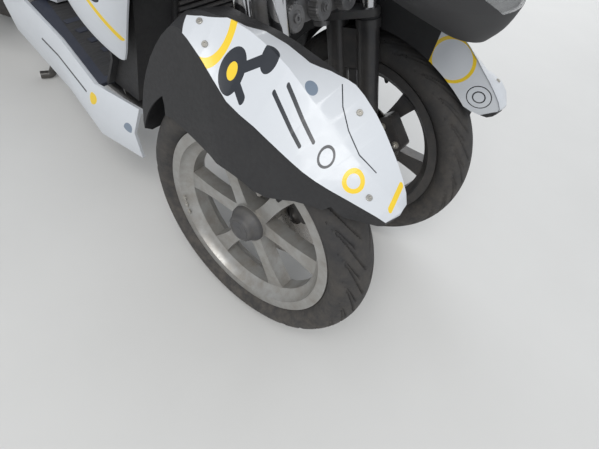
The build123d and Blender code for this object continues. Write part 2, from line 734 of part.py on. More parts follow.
# Seat base: covers at both sides, hollow luggage box and the tail
# Each row: height, front, rear (ahead of the axle), half width at the front, middle and rear
rear_rows = smoothed((
    (309, -742, -1180, 104, 150, 120),
    (480, -696, -1420, 116, 172, 104),
    (cover_top - 95, -664, -1560, 112, 176, 78),
    (cover_top, -660, -1590, 96, 160, 62),
), 4)


def rear_form(shrink, opening=0.0):
    """Returns the rear body's solid form, shrunk by a wall and reaching out where the shell is open."""
    with BuildPart() as form:
        faces = []
        for z, front, rear, front_half, half, rear_half in stretched(rear_rows, opening):
            middle = front * 0.45 + rear * 0.55
            with BuildSketch(level_plane(z)) as face:
                with BuildLine():
                    Line((ahead(front - shrink), -front_half + shrink), (ahead(front - shrink), front_half - shrink))
                    ThreePointArc((ahead(front - shrink), front_half - shrink), (ahead(middle), half - shrink),
                                  (ahead(rear + shrink), rear_half - shrink))
                    Line((ahead(rear + shrink), rear_half - shrink), (ahead(rear + shrink), -rear_half + shrink))
                    ThreePointArc((ahead(rear + shrink), -rear_half + shrink), (ahead(middle), -half + shrink),
                                  (ahead(front - shrink), -front_half + shrink))
                make_face()
            faces.append(face.sketch)
        loft(faces, ruled=True)
    return form.part


rear_outer = rear_form(0)
rear_hollow = rear_form(wall, 12)
with BuildPart() as side_covers:
    add(rear_outer)
    add(rear_hollow, mode=Mode.SUBTRACT)
    slab_y([(ahead(-630), cover_top - 35), (ahead(-720), cover_top - 35), (ahead(-720), cover_top + 65),
            (ahead(-630), cover_top + 65)], -88, 88, Mode.SUBTRACT)
    slab_y([(ahead(-600), 250), (ahead(-792), 250), (ahead(-860), 412), (ahead(-1190), 424), (ahead(-1190), 250)],
           -300, 300, Mode.SUBTRACT)
    slab_y([(ahead(tail_joint + 2), 300), (ahead(tail_joint - 240), 300), (ahead(tail_joint - 240), cover_top + 65),
            (ahead(tail_joint + 2), cover_top + 65)], -300, 300, Mode.SUBTRACT)
    slab_y([(ahead(-1080), 300), (ahead(-1700), 300), (ahead(-1700), 560), (ahead(-1380), 520),
            (ahead(-1180), 420)], -300, 300, Mode.SUBTRACT)
save("side_covers", side_covers)

# Frame: headstock and head tube on a backbone plate, and two tubes a side
backbone = [(0, lower_arm_level - 24), (0, kingpin_high), (-84, kingpin_high), (-84, head_tube_low),
            (0, head_tube_low), (0, head_tube_high), (-50, head_tube_high), (-122, head_tube_low + 10),
            (-122, 600), (-60, lower_arm_level - 24)]
head_tube_wall = 9.0
head_tube_middle = steering_plane(0, head_tube_high - 13).origin
shield_boss_x = -389.61 + seat_gap
shield_boss_y = 50.6
shield_boss_z = 560.0
floor_rail_y = 100.0
side_stand_x = -680.0
side_stand_y = 128.0
side_stand_z = 184.0
side_stand_pin = 6.0
carrier_bar_radius = 9.0
# Bars whose ends follow the shells that they carry
with BuildPart() as nose_carrier:
    bar_y(head_tube_middle.X, head_tube_middle.Z, carrier_bar_radius, -300, 300)
    add(nose_form(wall + seat_gap, 12), mode=Mode.INTERSECT)
with BuildPart() as cover_carriers:
    for x, z in ((-935, 502), (-1400, seat_base - 46)):
        bar_y(ahead(x), z, carrier_bar_radius, -300, 300)
    add(rear_form(wall + seat_gap, 12), mode=Mode.INTERSECT)
    slab(level_plane(300), [(ahead(-700), 66), (ahead(-700), -66), (ahead(-1500), -66), (ahead(-1500), 66)],
         600, Mode.SUBTRACT)
    slab(level_plane(300), [(ahead(-700), 106), (ahead(-700), -106), (ahead(-1200), -106), (ahead(-1200), 106)],
         600, Mode.SUBTRACT)

with BuildPart() as frame:
    spine = Plane(origin=(ahead(trail), 0, 0), x_dir=(rake_cos, 0, rake_sin), z_dir=(0, -1, 0))
    slab(spine.offset(-14), backbone, 28)
    centre = steering_plane(0)
    bar(centre.offset(lower_arm_level - 24), 0, 0, 22, kingpin_high - lower_arm_level + 24)
    bar(centre.offset(head_tube_low), 0, 0, column_radius + head_tube_wall, head_tube_high - head_tube_low)
    add(nose_carrier.part)
    add(cover_carriers.part)
    bar(centre.offset(head_tube_low), 0, 0, column_radius + running_gap, head_tube_high - head_tube_low,
        Mode.SUBTRACT)
    for level in (lower_arm_level, upper_arm_level):
        bar(linkage_plane(-arm_gap), 0, level, arm_pin_radius + running_gap, 2 * arm_gap, Mode.SUBTRACT)
        slab(linkage_plane(-arm_gap - arm_thickness - 8),
             [(-26, level - 24), (26, level - 24), (26, level + 24), (-26, level + 24)],
             arm_thickness + 8 + 2, Mode.SUBTRACT)
    for name, side in SIDES:
        tube([(ahead(-286), side * 8, 644), (ahead(-366), side * 46, 600), (ahead(-368), side * 82, 290),
              (ahead(-430), side * floor_rail_y, 190), (ahead(-780), side * floor_rail_y, 190),
              (ahead(-850), side * 108, 340), (ahead(-930), side * 108, 500), (ahead(-1160), side * 104, 516),
              (ahead(-1240), side * 78, seat_base - 136), (ahead(-1400), side * 66, seat_base - 46),
              (ahead(tail_joint + 0.3), side * 66, seat_base - 46)], 15, 36)
    for x, z in ((ahead(-500), 190), (ahead(-760), 190)):
        bar_y(x, z, 12, -floor_rail_y, floor_rail_y)
    bar_y(ahead(-960), 530, 14.8, -107, 107)
    bar_y(ahead(side_stand_x), side_stand_z, side_stand_pin, floor_rail_y, side_stand_y + 10)
    # Plates that carry the floorboard, and bosses that carry the leg shield
    for name, side in SIDES:
        for x in (-500, -742):
            slab(cross_plane(ahead(x)), [(side * (floor_rail_y - 12), 198), (side * (floor_rail_y + 12), 198),
                                         (side * (floor_rail_y + 30), deck_top - deck_thickness - seat_gap),
                                         (side * (floor_rail_y - 30), deck_top - deck_thickness - seat_gap)], 6)
        bar(cross_plane(ahead(shield_boss_x)), side * shield_boss_y, shield_boss_z, 8, 16)
save("frame", frame)

box_front = -745.0
box_length = 375.0
box_rear = box_front - box_length
box_half = 110.0
box_top = seat_base - 3
box_floor = 545.0
box_wall = 3.0
hinge_x = -672.0
hinge_z = seat_base - 12
hinge_pin = 4.0
with BuildPart() as luggage_box:
    slab(level_plane(box_floor), [(ahead(box_front), box_half), (ahead(box_front), -box_half),
                                  (ahead(box_rear), -box_half), (ahead(box_rear), box_half)],
         box_top - box_floor, corner=30)
    slab(level_plane(box_floor + box_wall),
         [(ahead(box_front - box_wall), box_half - box_wall), (ahead(box_front - box_wall), box_wall - box_half),
          (ahead(box_rear + box_wall), box_wall - box_half), (ahead(box_rear + box_wall), box_half - box_wall)],
         box_top - box_floor, Mode.SUBTRACT, corner=27)
    # Ears and pin of the seat's hinge
    for side in (-1, 1):
        slab_y([(ahead(box_front - 1), hinge_z - 34), (ahead(box_front - 1), box_top), (ahead(hinge_x - 8), box_top),
                (ahead(hinge_x + 8), hinge_z + 4), (ahead(hinge_x + 6), hinge_z - 8)], side * 22, side * 28)
    bar_y(ahead(hinge_x), hinge_z, hinge_pin, -28, 28)
save("luggage_box", luggage_box)

# Seat, hinged at its front edge
# Each pair of seat_side: place ahead of the axle, height over the seat's base
seat_side = [(-646, 0), (-636, 16), (-652, 36), (-760, 46), (-930, 48), (-1010, 64), (-1060, 102),
             (-1130, 114), (-1400, 120), (-1446, 104), (-1458, 0)]
seat_plan = [(-634, 62), (-700, 100), (-840, 146), (-1100, 152), (-1380, 104), (-1464, 84)]
with BuildPart() as seat:
    slab_y([(ahead(x), seat_base + rise) for x, rise in seat_side], -170, 170)
    plan = [(ahead(x), half) for x, half in seat_plan] + [(ahead(x), -half) for x, half in seat_plan[::-1]]
    slab(level_plane(seat_base - 5), plan, 200, Mode.INTERSECT)
    slab_y([(ahead(hinge_x + 9), hinge_z - 8), (ahead(hinge_x + 9), seat_base + 6),
            (ahead(hinge_x - 9), seat_base + 6), (ahead(hinge_x - 9), hinge_z - 8)], -20, 20)
    bar_y(ahead(hinge_x), hinge_z, hinge_pin + running_gap, -20, 20, Mode.SUBTRACT)
save("seat", seat)

# Tail, lamp, grab rail with its carrier plate, and rear mudguard with the plate holder
tail_end = -1600.0
with BuildPart() as tail_cover:
    lofted([(cross_plane(ahead(tail_joint)), [(-86, cover_top - 95), (86, cover_top - 95), (100, cover_top),
                                              (78, cover_top + 77), (-78, cover_top + 77), (-100, cover_top)]),
            (cross_plane(ahead(tail_end)), [(-50, cover_top - 45), (50, cover_top - 45), (62, cover_top),
                                            (44, cover_top + 55), (-44, cover_top + 55), (-62, cover_top)])],
           ruled=True)
save("tail_cover", tail_cover)

with BuildPart() as tail_lamp:
    lofted([(cross_plane(ahead(tail_end - seat_gap)), [(-46, cover_top - 41), (46, cover_top - 41), (58, cover_top),
                                                       (40, cover_top + 49), (-40, cover_top + 49),
                                                       (-58, cover_top)]),
            (cross_plane(ahead(tail_end - 26)), [(-26, cover_top - 27), (26, cover_top - 27), (36, cover_top),
                                                 (24, cover_top + 33), (-24, cover_top + 33), (-36, cover_top)])],
           ruled=True)
save("tail_lamp", tail_lamp)

carrier_z = seat_base + 142
carrier_x = -1530.0
carrier_hole_radius = 4.25
carrier_spacing_x = 90.0
carrier_spacing_y = 70.0
with BuildPart() as grab_rail:
    for name, side in SIDES:
        tube([(ahead(-1190), side * 160, cover_top + seat_gap), (ahead(-1190), side * 160, cover_top + 23),
              (ahead(-1240), side * 166, cover_top + 65), (ahead(-1420), side * 150, carrier_z - 16),
              (ahead(-1580), side * 92, carrier_z - 10), (ahead(-1612), 0, carrier_z - 10)], 11, 22)
    slab(level_plane(carrier_z - 16), [(ahead(carrier_x + 62), 62), (ahead(carrier_x + 62), -62),
                                       (ahead(carrier_x - 78), -48), (ahead(carrier_x - 78), 48)], 16, corner=12)
    for side_x in (-1, 1):
        for side_y in (-1, 1):
            bar(level_plane(carrier_z - 16), ahead(carrier_x + side_x * carrier_spacing_x / 2),
                side_y * carrier_spacing_y / 2, carrier_hole_radius, 16, Mode.SUBTRACT)
save("grab_rail", grab_rail)

with BuildPart() as rear_mudguard:
    arc_in = rear_tyre_radius + 34
    arc_out = arc_in + wall
    with BuildSketch(side_plane(66)) as face:
        with Locations((rear_axle_x, rear_axle_z)):
            Circle(arc_out)
            Circle(arc_in, mode=Mode.SUBTRACT)
        with Locations((rear_axle_x, rear_axle_z)):
            Polygon((0, 0), (-60, 600), (-500, 500), (-500, 120), mode=Mode.INTERSECT, align=None)
    extrude(face.sketch, amount=132)
    slab_y([(ahead(-1512), cover_top - 78.1), (ahead(-1542), cover_top - 95), (ahead(-1638), 470),
            (ahead(-1649), 330), (ahead(-1655), 330), (ahead(-1654), 474), (ahead(-1590), cover_top - 49)], -62, 62)
    # Stays that carry the inner guard on the belt case and the axle arm
    slab_y([(rear_axle_x - 30, rear_axle_z + 80), (rear_axle_x - 56, rear_axle_z + 66),
            (rear_axle_x - 236, rear_axle_z + 160), (rear_axle_x - 230, rear_axle_z + 172)], 60.5, 67.8)
save("rear_mudguard", rear_mudguard)

# Engine and swing unit: crankcase block, belt case at the left, axle arm at the right
engine_bottom = 212.0
belt_inner = 68.0
belt_outer = 148.0
arm_inner = 72.0
arm_outer = 86.0
stand_x = -945.0
stand_z = 186.0
stand_shaft = 9.0
with BuildPart() as engine:
    slab_y([(ahead(-790), 250), (ahead(-800), 330), (ahead(-880), 400), (ahead(-1010), 400),
            (ahead(-1030), engine_bottom), (ahead(-840), engine_bottom)], -84, belt_inner + 4, corner=14)
    with BuildSketch(side_plane(belt_outer)) as case:
        with Locations((ahead(-1012), 300)):
            Circle(84)
        with Locations((rear_axle_x, rear_axle_z)):
            Circle(80)
        with Locations((rear_axle_x - 26, rear_axle_z + 84)):
            Circle(16)
        make_hull()
    extrude(case.sketch, amount=belt_outer - belt_inner)
    with BuildSketch(side_plane(-arm_inner)) as arm:
        with Locations((ahead(-1000), 300)):
            Circle(44)
        with Locations((rear_axle_x, rear_axle_z)):
            Circle(30)
        with Locations((rear_axle_x - 26, rear_axle_z + 70)):
            Circle(16)
        make_hull()
    extrude(arm.sketch, amount=arm_outer - arm_inner)
    bar_y(rear_axle_x - 26, rear_axle_z + 84, 8, belt_outer - 60, belt_outer)
    bar_y(rear_axle_x - 26, rear_axle_z + 70, 8, -arm_outer, -132)
    bar_y(rear_axle_x, rear_axle_z, axle_radius, -arm_outer - 12, belt_inner)
    for side_y in (-28, 28):
        hull_plate(side_plane(side_y + 6), [(ahead(stand_x), stand_z, 17), (ahead(stand_x + 20), 240, 24),
                                            (ahead(stand_x - 20), 240, 24)], 12)
    bar_y(ahead(stand_x), stand_z, stand_shaft, -66, 66)
save("engine_unit", engine)

shock_y = 110.0
with BuildPart() as shocks:
    for side, low_z in ((1, rear_axle_z + 111.2), (-1, rear_axle_z + 89.2)):
        low = Vector(rear_axle_x - 26, side * shock_y, low_z)
        high = Vector(ahead(-1262), side * shock_y, seat_base - 132)
        along = high - low
        plane = Plane(origin=low, z_dir=along)
        bar(plane, 0, 0, 9, along.length)
        bar(plane.offset(26), 0, 0, 25, along.length - 90)
        bar(plane.offset(along.length - 66), 0, 0, 18, 50)
        bar_y(low.X, low.Z, 11, side * (shock_y - 10), side * (shock_y + 10))
        bar_y(high.X, high.Z, 12, side * 92.6, side * (shock_y + 16))
save("rear_shocks", shocks)

with BuildPart() as silencer:
    body = Plane(origin=(ahead(-1020), -183, 262), x_dir=(0, 1, 0), z_dir=(-1, 0, 0.17))
    with BuildSketch(body) as can:
        RectangleRounded(86, 108, 38)
    extrude(can.sketch, amount=470)
    with BuildSketch(body.offset(470)) as end:
        RectangleRounded(62, 80, 28)
    extrude(end.sketch, amount=26)
    bar(body.offset(440), 0, -8, 15, 62, Mode.SUBTRACT)
    tube([(ahead(-940), -84.3, 250), (ahead(-940), -128, 250), (ahead(-1000), -172, 252),
          (ahead(-1040), -183, 264)], 14, 22)
save("silencer", silencer)

# Rear wheel, in one piece with its brake disc's carrier
with BuildPart() as rear_tyre:
    tyre(rear_axle_x, 0, rear_axle_z, rear_tyre_radius, rear_tyre_width / 2, rear_rim_radius - 13 + seat_gap,
         rear_rim_half_width - 3.5)
save("tyre_rear", rear_tyre)

with BuildPart() as rear_rim:
    barrel(rear_axle_x, 0, rear_axle_z, rear_rim_radius, rear_rim_half_width, 33)
    spokes(rear_axle_x, 20, -18, rear_axle_z, 32, rear_rim_radius - 30, 20, 17, 13, 20)
    bar_y(rear_axle_x, rear_axle_z, 42, -32, 32)
    bar_y(rear_axle_x, rear_axle_z, 30, -58, 60)
    bar_y(rear_axle_x, rear_axle_z, rear_disc_radius, -54, -50)
    for step in range(6):
        angle = radians(step * 60)
        bar_y(rear_axle_x + 58 * cos(angle), rear_axle_z + 58 * sin(angle), 18, -54, -50, Mode.SUBTRACT)
    bar_y(rear_axle_x, rear_axle_z, axle_radius + running_gap, -58, 60, Mode.SUBTRACT)
save("rim_rear", rear_rim)

# Handlebar trim: cover with the instruments, grips and mirrors
bar_centre = steering_plane(0, column_high - 10).origin
with BuildPart() as bar_core:
    handlebar_form(0.2)

with BuildPart() as bar_cover:
    # Each row: place ahead of the column, bottom and top above the bar's middle, half widths of both
    sections = []
    for step, low, high, low_half, high_half in ((64, 58, 92, 60, 84), (14, 24, 124, 160, 120),
                                                 (-62, 38, 106, 150, 110)):
        low_z = bar_centre.Z + low
        high_z = bar_centre.Z + high
        sections.append((cross_plane(bar_centre.X + step), [(-low_half, low_z), (low_half, low_z),
                                                            (high_half, high_z), (-high_half, high_z)]))
    lofted(sections, ruled=True)
    add(bar_core.part, mode=Mode.SUBTRACT)
save("handlebar_cover", bar_cover)

with BuildPart() as grips:
    for side in (-1, 1):
        start = Vector(bar_centre.X - 24, side * grip_start, bar_centre.Z + 42)
        end = Vector(bar_centre.X - 62, side * (grip_start + grip_length + 8), bar_centre.Z + 36)
        along = (end - start).normalized()
        grip_plane = Plane(origin=start + along * 16, z_dir=along)
        bar(grip_plane, 0, 0, grip_radius, grip_length + 6)
        bar(grip_plane.offset(-8), 0, 0, bar_radius + running_gap, grip_length + 8, Mode.SUBTRACT)
save("grips", grips)

with BuildPart() as mirrors:
    for side in (-1, 1):
        tube([(bar_centre.X - 12.7, side * (grip_start - 40), bar_centre.Z + 52.4),
              (bar_centre.X - 12.7, side * (grip_start - 40), bar_centre.Z + 92),
              (bar_centre.X + 20, side * (grip_start - 5), bar_centre.Z + 166),
              (bar_centre.X + 10, side * (grip_start + 47), bar_centre.Z + 212)], 5, 20)
        face_plane = Plane(origin=(bar_centre.X + 16, side * (grip_start + 87), bar_centre.Z + 218),
                           x_dir=(0, 1, 0), z_dir=(1, 0, 0.1))
        with BuildSketch(face_plane) as back:
            RectangleRounded(134, 82, 34)
        with BuildSketch(face_plane.offset(22)) as front:
            RectangleRounded(96, 52, 24)
        loft([back.sketch, front.sketch])
save("mirrors", mirrors)

# Centre stand, deployed: bent legs on a tube that turns on the engine's shaft
foot_x = -920.0
stand_tube = 11.0
with BuildPart() as centre_stand:
    for side in (-1, 1):
        bar_y(ahead(stand_x), stand_z, stand_shaft + 6, side * 40, side * 62)
        tube([(ahead(stand_x), side * 51, stand_z), (ahead(stand_x + 46), side * 56, 96),
              (ahead(foot_x + 2), side * 84, stand_tube), (ahead(foot_x - 12), side * 112, stand_tube)],
             stand_tube, 14)
        bar_y(ahead(stand_x), stand_z, stand_shaft + running_gap, side * 30, side * 70, Mode.SUBTRACT)
    bar_y(ahead(stand_x + 44), 100, 8, -54, 54)
save("centre_stand", centre_stand)

# Side stand, folded back along the left floor rail
with BuildPart() as side_stand:
    bar_y(ahead(side_stand_x), side_stand_z, 16, side_stand_y - 6, side_stand_y + 6)
    tube([(ahead(side_stand_x), side_stand_y, side_stand_z), (ahead(side_stand_x - 90), side_stand_y, 178),
          (ahead(side_stand_x - 158), side_stand_y + 6, 160)], 8, 30)
    bar(level_plane(150), ahead(side_stand_x - 154), side_stand_y + 6, 18, 6)
    bar_y(ahead(side_stand_x), side_stand_z, side_stand_pin + running_gap, side_stand_y - 8,
          side_stand_y + 8, Mode.SUBTRACT)
save("side_stand", side_stand)
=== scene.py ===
"""Dresses the scooter's frame with tread, fasteners, lamps, seat, trim and procedural finishes.

Lengths are millimetres ahead of the front axle, to the rider's left and above the ground; the
function spot() turns them into the frame's metres. Each operator makes one group of pieces.
"""
from math import cos, pi, radians, sin

import bmesh
import bpy
import numpy as np
from bpy.props import FloatProperty, FloatVectorProperty, IntProperty, PointerProperty
from mathutils import Matrix, Vector
from mathutils.bvhtree import BVHTree


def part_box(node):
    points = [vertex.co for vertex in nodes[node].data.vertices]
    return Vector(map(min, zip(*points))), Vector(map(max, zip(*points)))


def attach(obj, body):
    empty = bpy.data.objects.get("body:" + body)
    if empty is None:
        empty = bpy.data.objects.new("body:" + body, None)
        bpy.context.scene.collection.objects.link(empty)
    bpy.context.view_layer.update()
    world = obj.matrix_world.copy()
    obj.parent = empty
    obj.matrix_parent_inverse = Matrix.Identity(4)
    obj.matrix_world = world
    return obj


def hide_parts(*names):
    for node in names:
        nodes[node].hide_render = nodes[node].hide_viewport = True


bl_info = {
    "name": "Leaning scooter",
    "version": (1, 0, 0),
    "blender": (4, 5, 0),
    "location": "View3D > Sidebar > Scooter",
    "description": "Dresses the scooter's frame with tread, lamps, seat, trim and finishes",
    "category": "Object",
}

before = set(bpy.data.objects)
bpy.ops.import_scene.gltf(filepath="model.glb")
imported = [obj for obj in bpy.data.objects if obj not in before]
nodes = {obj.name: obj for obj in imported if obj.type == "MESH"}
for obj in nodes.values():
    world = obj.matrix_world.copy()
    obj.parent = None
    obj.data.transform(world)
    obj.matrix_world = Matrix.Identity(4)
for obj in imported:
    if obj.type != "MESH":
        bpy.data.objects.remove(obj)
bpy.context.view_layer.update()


def middle(node):
    """Middle of a node's box."""
    low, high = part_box(node)
    return (np.array(low) + np.array(high)) / 2


axle = {name: middle("tyre_" + name) for name in ("front_left", "front_right", "rear")}
front_axle_x = axle["front_left"][0]
rear_x = (axle["rear"][0] - front_axle_x) * 1000
rear_z = axle["rear"][2] * 1000
SIDES = (("left", 1), ("right", -1))
X, Y, Z = np.eye(3)

# Forks: lean of the steering axis and where it meets the ground, kingpins and legs from the middle,
# how far the second leg stands ahead of the first, tops of sliders and stanchions, levels of the arms
rake = radians(20)
trail = 68.0
kingpin_y = 72.0
leg_y = 120.0
leg_step = 71.0
slider_top = 539.0
stanchion_top = 788.6
arm_levels = (583.0, 748.0)
steering_axis = np.array((-sin(rake), 0.0, cos(rake)))
forward_axis = np.array((cos(rake), 0.0, sin(rake)))


def spot(x, y, z):
    """Point of the frame in metres, from millimetres ahead of the front axle, left and up."""
    return np.array((front_axle_x + x / 1000, y / 1000, z / 1000))


def on_steering(forward, sideways, along):
    """Point given ahead of the steering axis, to the left and along the axis, in millimetres."""
    return spot(trail + forward * cos(rake) - along * sin(rake), sideways,
                forward * sin(rake) + along * cos(rake))


# Surfaces
def unit(vector):
    """The vector divided by its own length."""
    vector = np.asarray(vector, float)
    return vector / np.linalg.norm(vector)


def across(axis):
    """Two directions square to an axis and to each other, as cross products with an upright guide."""
    axis = unit(axis)
    guide = Z if abs(axis[2]) < 0.9 else X
    first = unit(np.cross(guide, axis))
    return first, np.cross(axis, first)


def grid_faces(rows, columns, wrap_rows, wrap_columns):
    """Quads of a grid of points: neighbours i, i+1 and j, j+1, wrapped round where asked."""
    i = np.arange(rows if wrap_rows else rows - 1)
    j = np.arange(columns if wrap_columns else columns - 1)
    i, j = np.meshgrid(i, j, indexing="ij")
    down, right = (i + 1) % rows, (j + 1) % columns
    quads = [i * columns + j, down * columns + j, down * columns + right, i * columns + right]
    return np.stack(quads, -1).reshape(-1, 4)


def surface(points, wrap_rows=False, wrap_columns=False):
    """A part from a grid of points, rows by columns, with a quad between each four neighbours."""
    points = np.asarray(points, float)
    rows, columns = points.shape[:2]
    return points.reshape(-1, 3), grid_faces(rows, columns, wrap_rows, wrap_columns).tolist()


def closed_rings(rings):
    """A closed skin through rings of equal length, with both ends drawn in to their middles."""
    rings = np.asarray(rings, float)
    count = rings.shape[1]
    ends = [np.repeat(ring.mean(0)[None, None], count, 1) for ring in (rings[0], rings[-1])]
    return surface(np.concatenate([ends[0], rings, ends[1]]), wrap_columns=True)


def lathe(profile, centre, axis, turns=32, teeth=0, depth=0.0):
    """Profile points (along, radius) in millimetres turned round an axis: centre + along + radius * circle.

    With teeth, the radius is lowered by depth times a cosine wave of that many periods a turn.
    """
    profile = np.asarray(profile, float) / 1000
    first, second = across(axis)
    turns = max(turns, teeth * 4)
    angle = np.linspace(0, 2 * pi, turns, endpoint=False)
    wave = depth / 1000 * 0.5 * (1 - np.cos(teeth * angle))
    circle = np.cos(angle)[:, None] * first + np.sin(angle)[:, None] * second
    toothed = profile[None, :, 1] > 2 * depth / 1000
    radius = np.maximum(profile[None, :, 1] - wave[:, None] * toothed, 0)
    points = np.asarray(centre) + profile[None, :, :1] * unit(axis) + radius[..., None] * circle[:, None, :]
    return surface(points, wrap_rows=True)


def tube(path, radius, turns=12, taper=None):
    """A round bar along points: path + radius * (cosine * first + sine * second), both ends closed.

    First starts as the direction the path follows least and loses its share along the path, so that
    first and second are square to the path at each point. A taper gives a radius for each point.
    """
    path = np.asarray(path, float)
    along = np.gradient(path, axis=0)
    along /= np.linalg.norm(along, axis=1)[:, None]
    guide = np.linalg.svd(along, full_matrices=True)[2][-1]
    first = guide - (along @ guide)[:, None] * along
    first /= np.linalg.norm(first, axis=1)[:, None]
    second = np.cross(along, first)
    size = np.full(len(path), radius / 1000.0) if taper is None else np.asarray(taper) / 1000.0
    angle = np.linspace(0, 2 * pi, turns, endpoint=False)
    circles = (np.cos(angle)[None, :, None] * first[:, None]
               + np.sin(angle)[None, :, None] * second[:, None])
    return closed_rings(path[:, None] + size[:, None, None] * circles)


def smooth_path(points, count):
    """Points along a curve through the given ones: Catmull-Rom blends of each four neighbours."""
    points = np.asarray(points, float)
    padded = np.concatenate([2 * points[:1] - points[1:2], points, 2 * points[-1:] - points[-2:-1]])
    place = np.linspace(0, len(points) - 1 - 1e-9, count)
    k = place.astype(int)
    t = (place - k)[:, None]
    a, b, c, d = (padded[k + n] for n in range(4))
    square = (2 * a - 5 * b + 4 * c - d) * t ** 2
    cube = (3 * b - a - 3 * c + d) * t ** 3
    return 0.5 * (2 * b + (c - a) * t + square + cube)


def coil(low, high, radius, wire, turns):
    """A spring: a round wire along a helix, the line from low to high plus a circle turned evenly."""
    low, high = np.asarray(low), np.asarray(high)
    first, second = across(high - low)
    points_a_turn = 22
    t = np.linspace(0, 1, int(turns * points_a_turn))[:, None]
    angle = 2 * pi * turns * t
    path = low + (high - low) * t + radius / 1000 * (np.cos(angle) * first + np.sin(angle) * second)
    return tube(path, wire, 8)


def rounded(width, height, corner, steps=6):
    """Outline of a rectangle in millimetres round its middle: a quarter circle at each corner."""
    turn = np.linspace(0, pi / 2, steps + 1)
    outline = []
    for quarter, (sx, sy) in enumerate(((1, 1), (-1, 1), (-1, -1), (1, -1))):
        angle = turn + quarter * pi / 2
        outline.append(np.stack([sx * (width / 2 - corner) + corner * np.cos(angle),
                                 sy * (height / 2 - corner) + corner * np.sin(angle)], -1))
    return np.concatenate(outline)


def belt(first, second, steps=18):
    """Outline of a belt round two circles (x, y, radius): the half of each that looks away from the other.

    The first circle is the one at the larger x.
    """
    half = np.linspace(-pi / 2, pi / 2, steps)
    tilt = np.arctan2(first[1] - second[1], first[0] - second[0])
    ends = [np.stack([x + r * np.cos(half + turn), y + r * np.sin(half + turn)], -1)
            for (x, y, r), turn in ((first, tilt), (second, tilt + pi))]
    return np.concatenate(ends)


def drawn_in(outline, amount):
    """An outline drawn in: each point moves by an amount straight towards the middle."""
    centre = outline.mean(0)
    span = np.linalg.norm(outline - centre, axis=1)[:, None]
    return outline - (outline - centre) / span * amount


def raised(outlines, heights, origin, across_axis, up_axis):
    """Rings from flat outlines: origin + x * across + y * up + height * the cross of the two."""
    across_axis, up_axis = unit(across_axis), unit(up_axis)
    normal = np.cross(across_axis, up_axis)
    return [np.asarray(origin) + flat[:, :1] * across_axis + flat[:, 1:] * up_axis + height * normal
            for flat, height in zip(outlines, heights)]


def plate(outline, origin, across_axis, up_axis, thickness, edge=0.6):
    """A flat piece of an outline in millimetres, whose faces are drawn in by a chamfer at the edges."""
    edge = min(edge, thickness / 2) / 1000
    thickness /= 1000
    outline = np.asarray(outline, float) / 1000
    small = drawn_in(outline, edge)
    return closed_rings(raised((small, outline, outline, small), (0, edge, thickness - edge, thickness),
                               origin, across_axis, up_axis))


def frame_plate(outline, width, origin, across_axis, up_axis, thickness):
    """A flat ring between an outline in millimetres and the same one drawn in by a width."""
    thickness /= 1000
    outline = np.asarray(outline, float) / 1000
    small = drawn_in(outline, width / 1000)
    return surface(raised((outline, outline, small, small), (0, thickness, thickness, 0),
                          origin, across_axis, up_axis), True, True)


def screw(centre, axis, size=4.0, turns=18):
    """A socket-head screw: a chamfered disc with a round pit, turned from one profile."""
    height, pit = size * 0.55, size * 0.42
    return lathe([(-0.4, 0.01), (-0.4, size), (height * 0.8, size), (height, size * 0.86), (height, pit),
                  (height * 0.35, pit), (height * 0.3, 0.01)], centre, axis, turns)


def hex_nut(centre, axis, size, height=None):
    """A hexagon nut with its washer and thread end: six-sided and round profiles of revolution."""
    height = height or size * 0.8
    nut = lathe([(0, 0.01), (0, size), (height * 0.85, size), (height, size * 0.88), (height, 0.01)],
                centre, axis, 6)
    washer = lathe([(-0.4, 0.01), (-0.4, size * 1.25), (1.0, size * 1.25), (1.2, size), (1.2, 0.01)],
                   centre, axis, 28)
    end = lathe([(0, size * 0.55), (height + 2, size * 0.55), (height + 3, size * 0.42), (height + 3, 0.01)],
                centre, axis, 18)
    return joined((nut, washer, end))


def ring_of(make, count, radius, centre, axis, start=0.0, **words):
    """Several like parts on a circle: centre + radius * (cosine * first + sine * second)."""
    first, second = across(axis)
    return [make(np.asarray(centre) + radius / 1000 * (cos(a) * first + sin(a) * second), axis, **words)
            for a in start + np.arange(count) * 2 * pi / count]


def joined(parts):
    """One list of points and faces from several parts."""
    points, faces, start = [], [], 0
    for part_points, part_faces in parts:
        points.append(part_points)
        faces += [tuple(start + n for n in face) for face in part_faces]
        start += len(part_points)
    return np.concatenate(points), faces


def piece(name, parts, material, body="chassis", sharp=35.0, replaces=()):
    """Makes one object from parts, merges its doubles, points its faces outward and lets it ride."""
    points, faces = joined(parts)
    mesh = bpy.data.meshes.new(name)
    mesh.from_pydata(points.tolist(), [], faces)
    made = bpy.data.objects.new(name, mesh)
    bpy.context.scene.collection.objects.link(made)
    shape = bmesh.new()
    shape.from_mesh(mesh)
    bmesh.ops.remove_doubles(shape, verts=shape.verts, dist=1e-6)
    bmesh.ops.dissolve_degenerate(shape, edges=shape.edges, dist=1e-7)
    bmesh.ops.recalc_face_normals(shape, faces=shape.faces)
    shape.to_mesh(mesh)
    shape.free()
    mesh.polygons.foreach_set("use_smooth", [True] * len(mesh.polygons))
    mesh.set_sharp_from_angle(angle=radians(sharp))
    mesh.materials.append(finish(material))
    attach(made, body)
    if replaces:
        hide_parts(*replaces)
    return made


def sheet(front, back):
    """A closed thin sheet between two grids of points, whose end edges are drawn together half way."""
    rings = np.concatenate([front, back[::-1]], 0).transpose(1, 0, 2)
    ends = [(ring + ring[::-1]) / 2 for ring in (rings[0], rings[-1])]
    return surface(np.concatenate([ends[0][None], rings, ends[1][None]]), wrap_columns=True)


# Search trees by CAD node, each made once
skins = {}


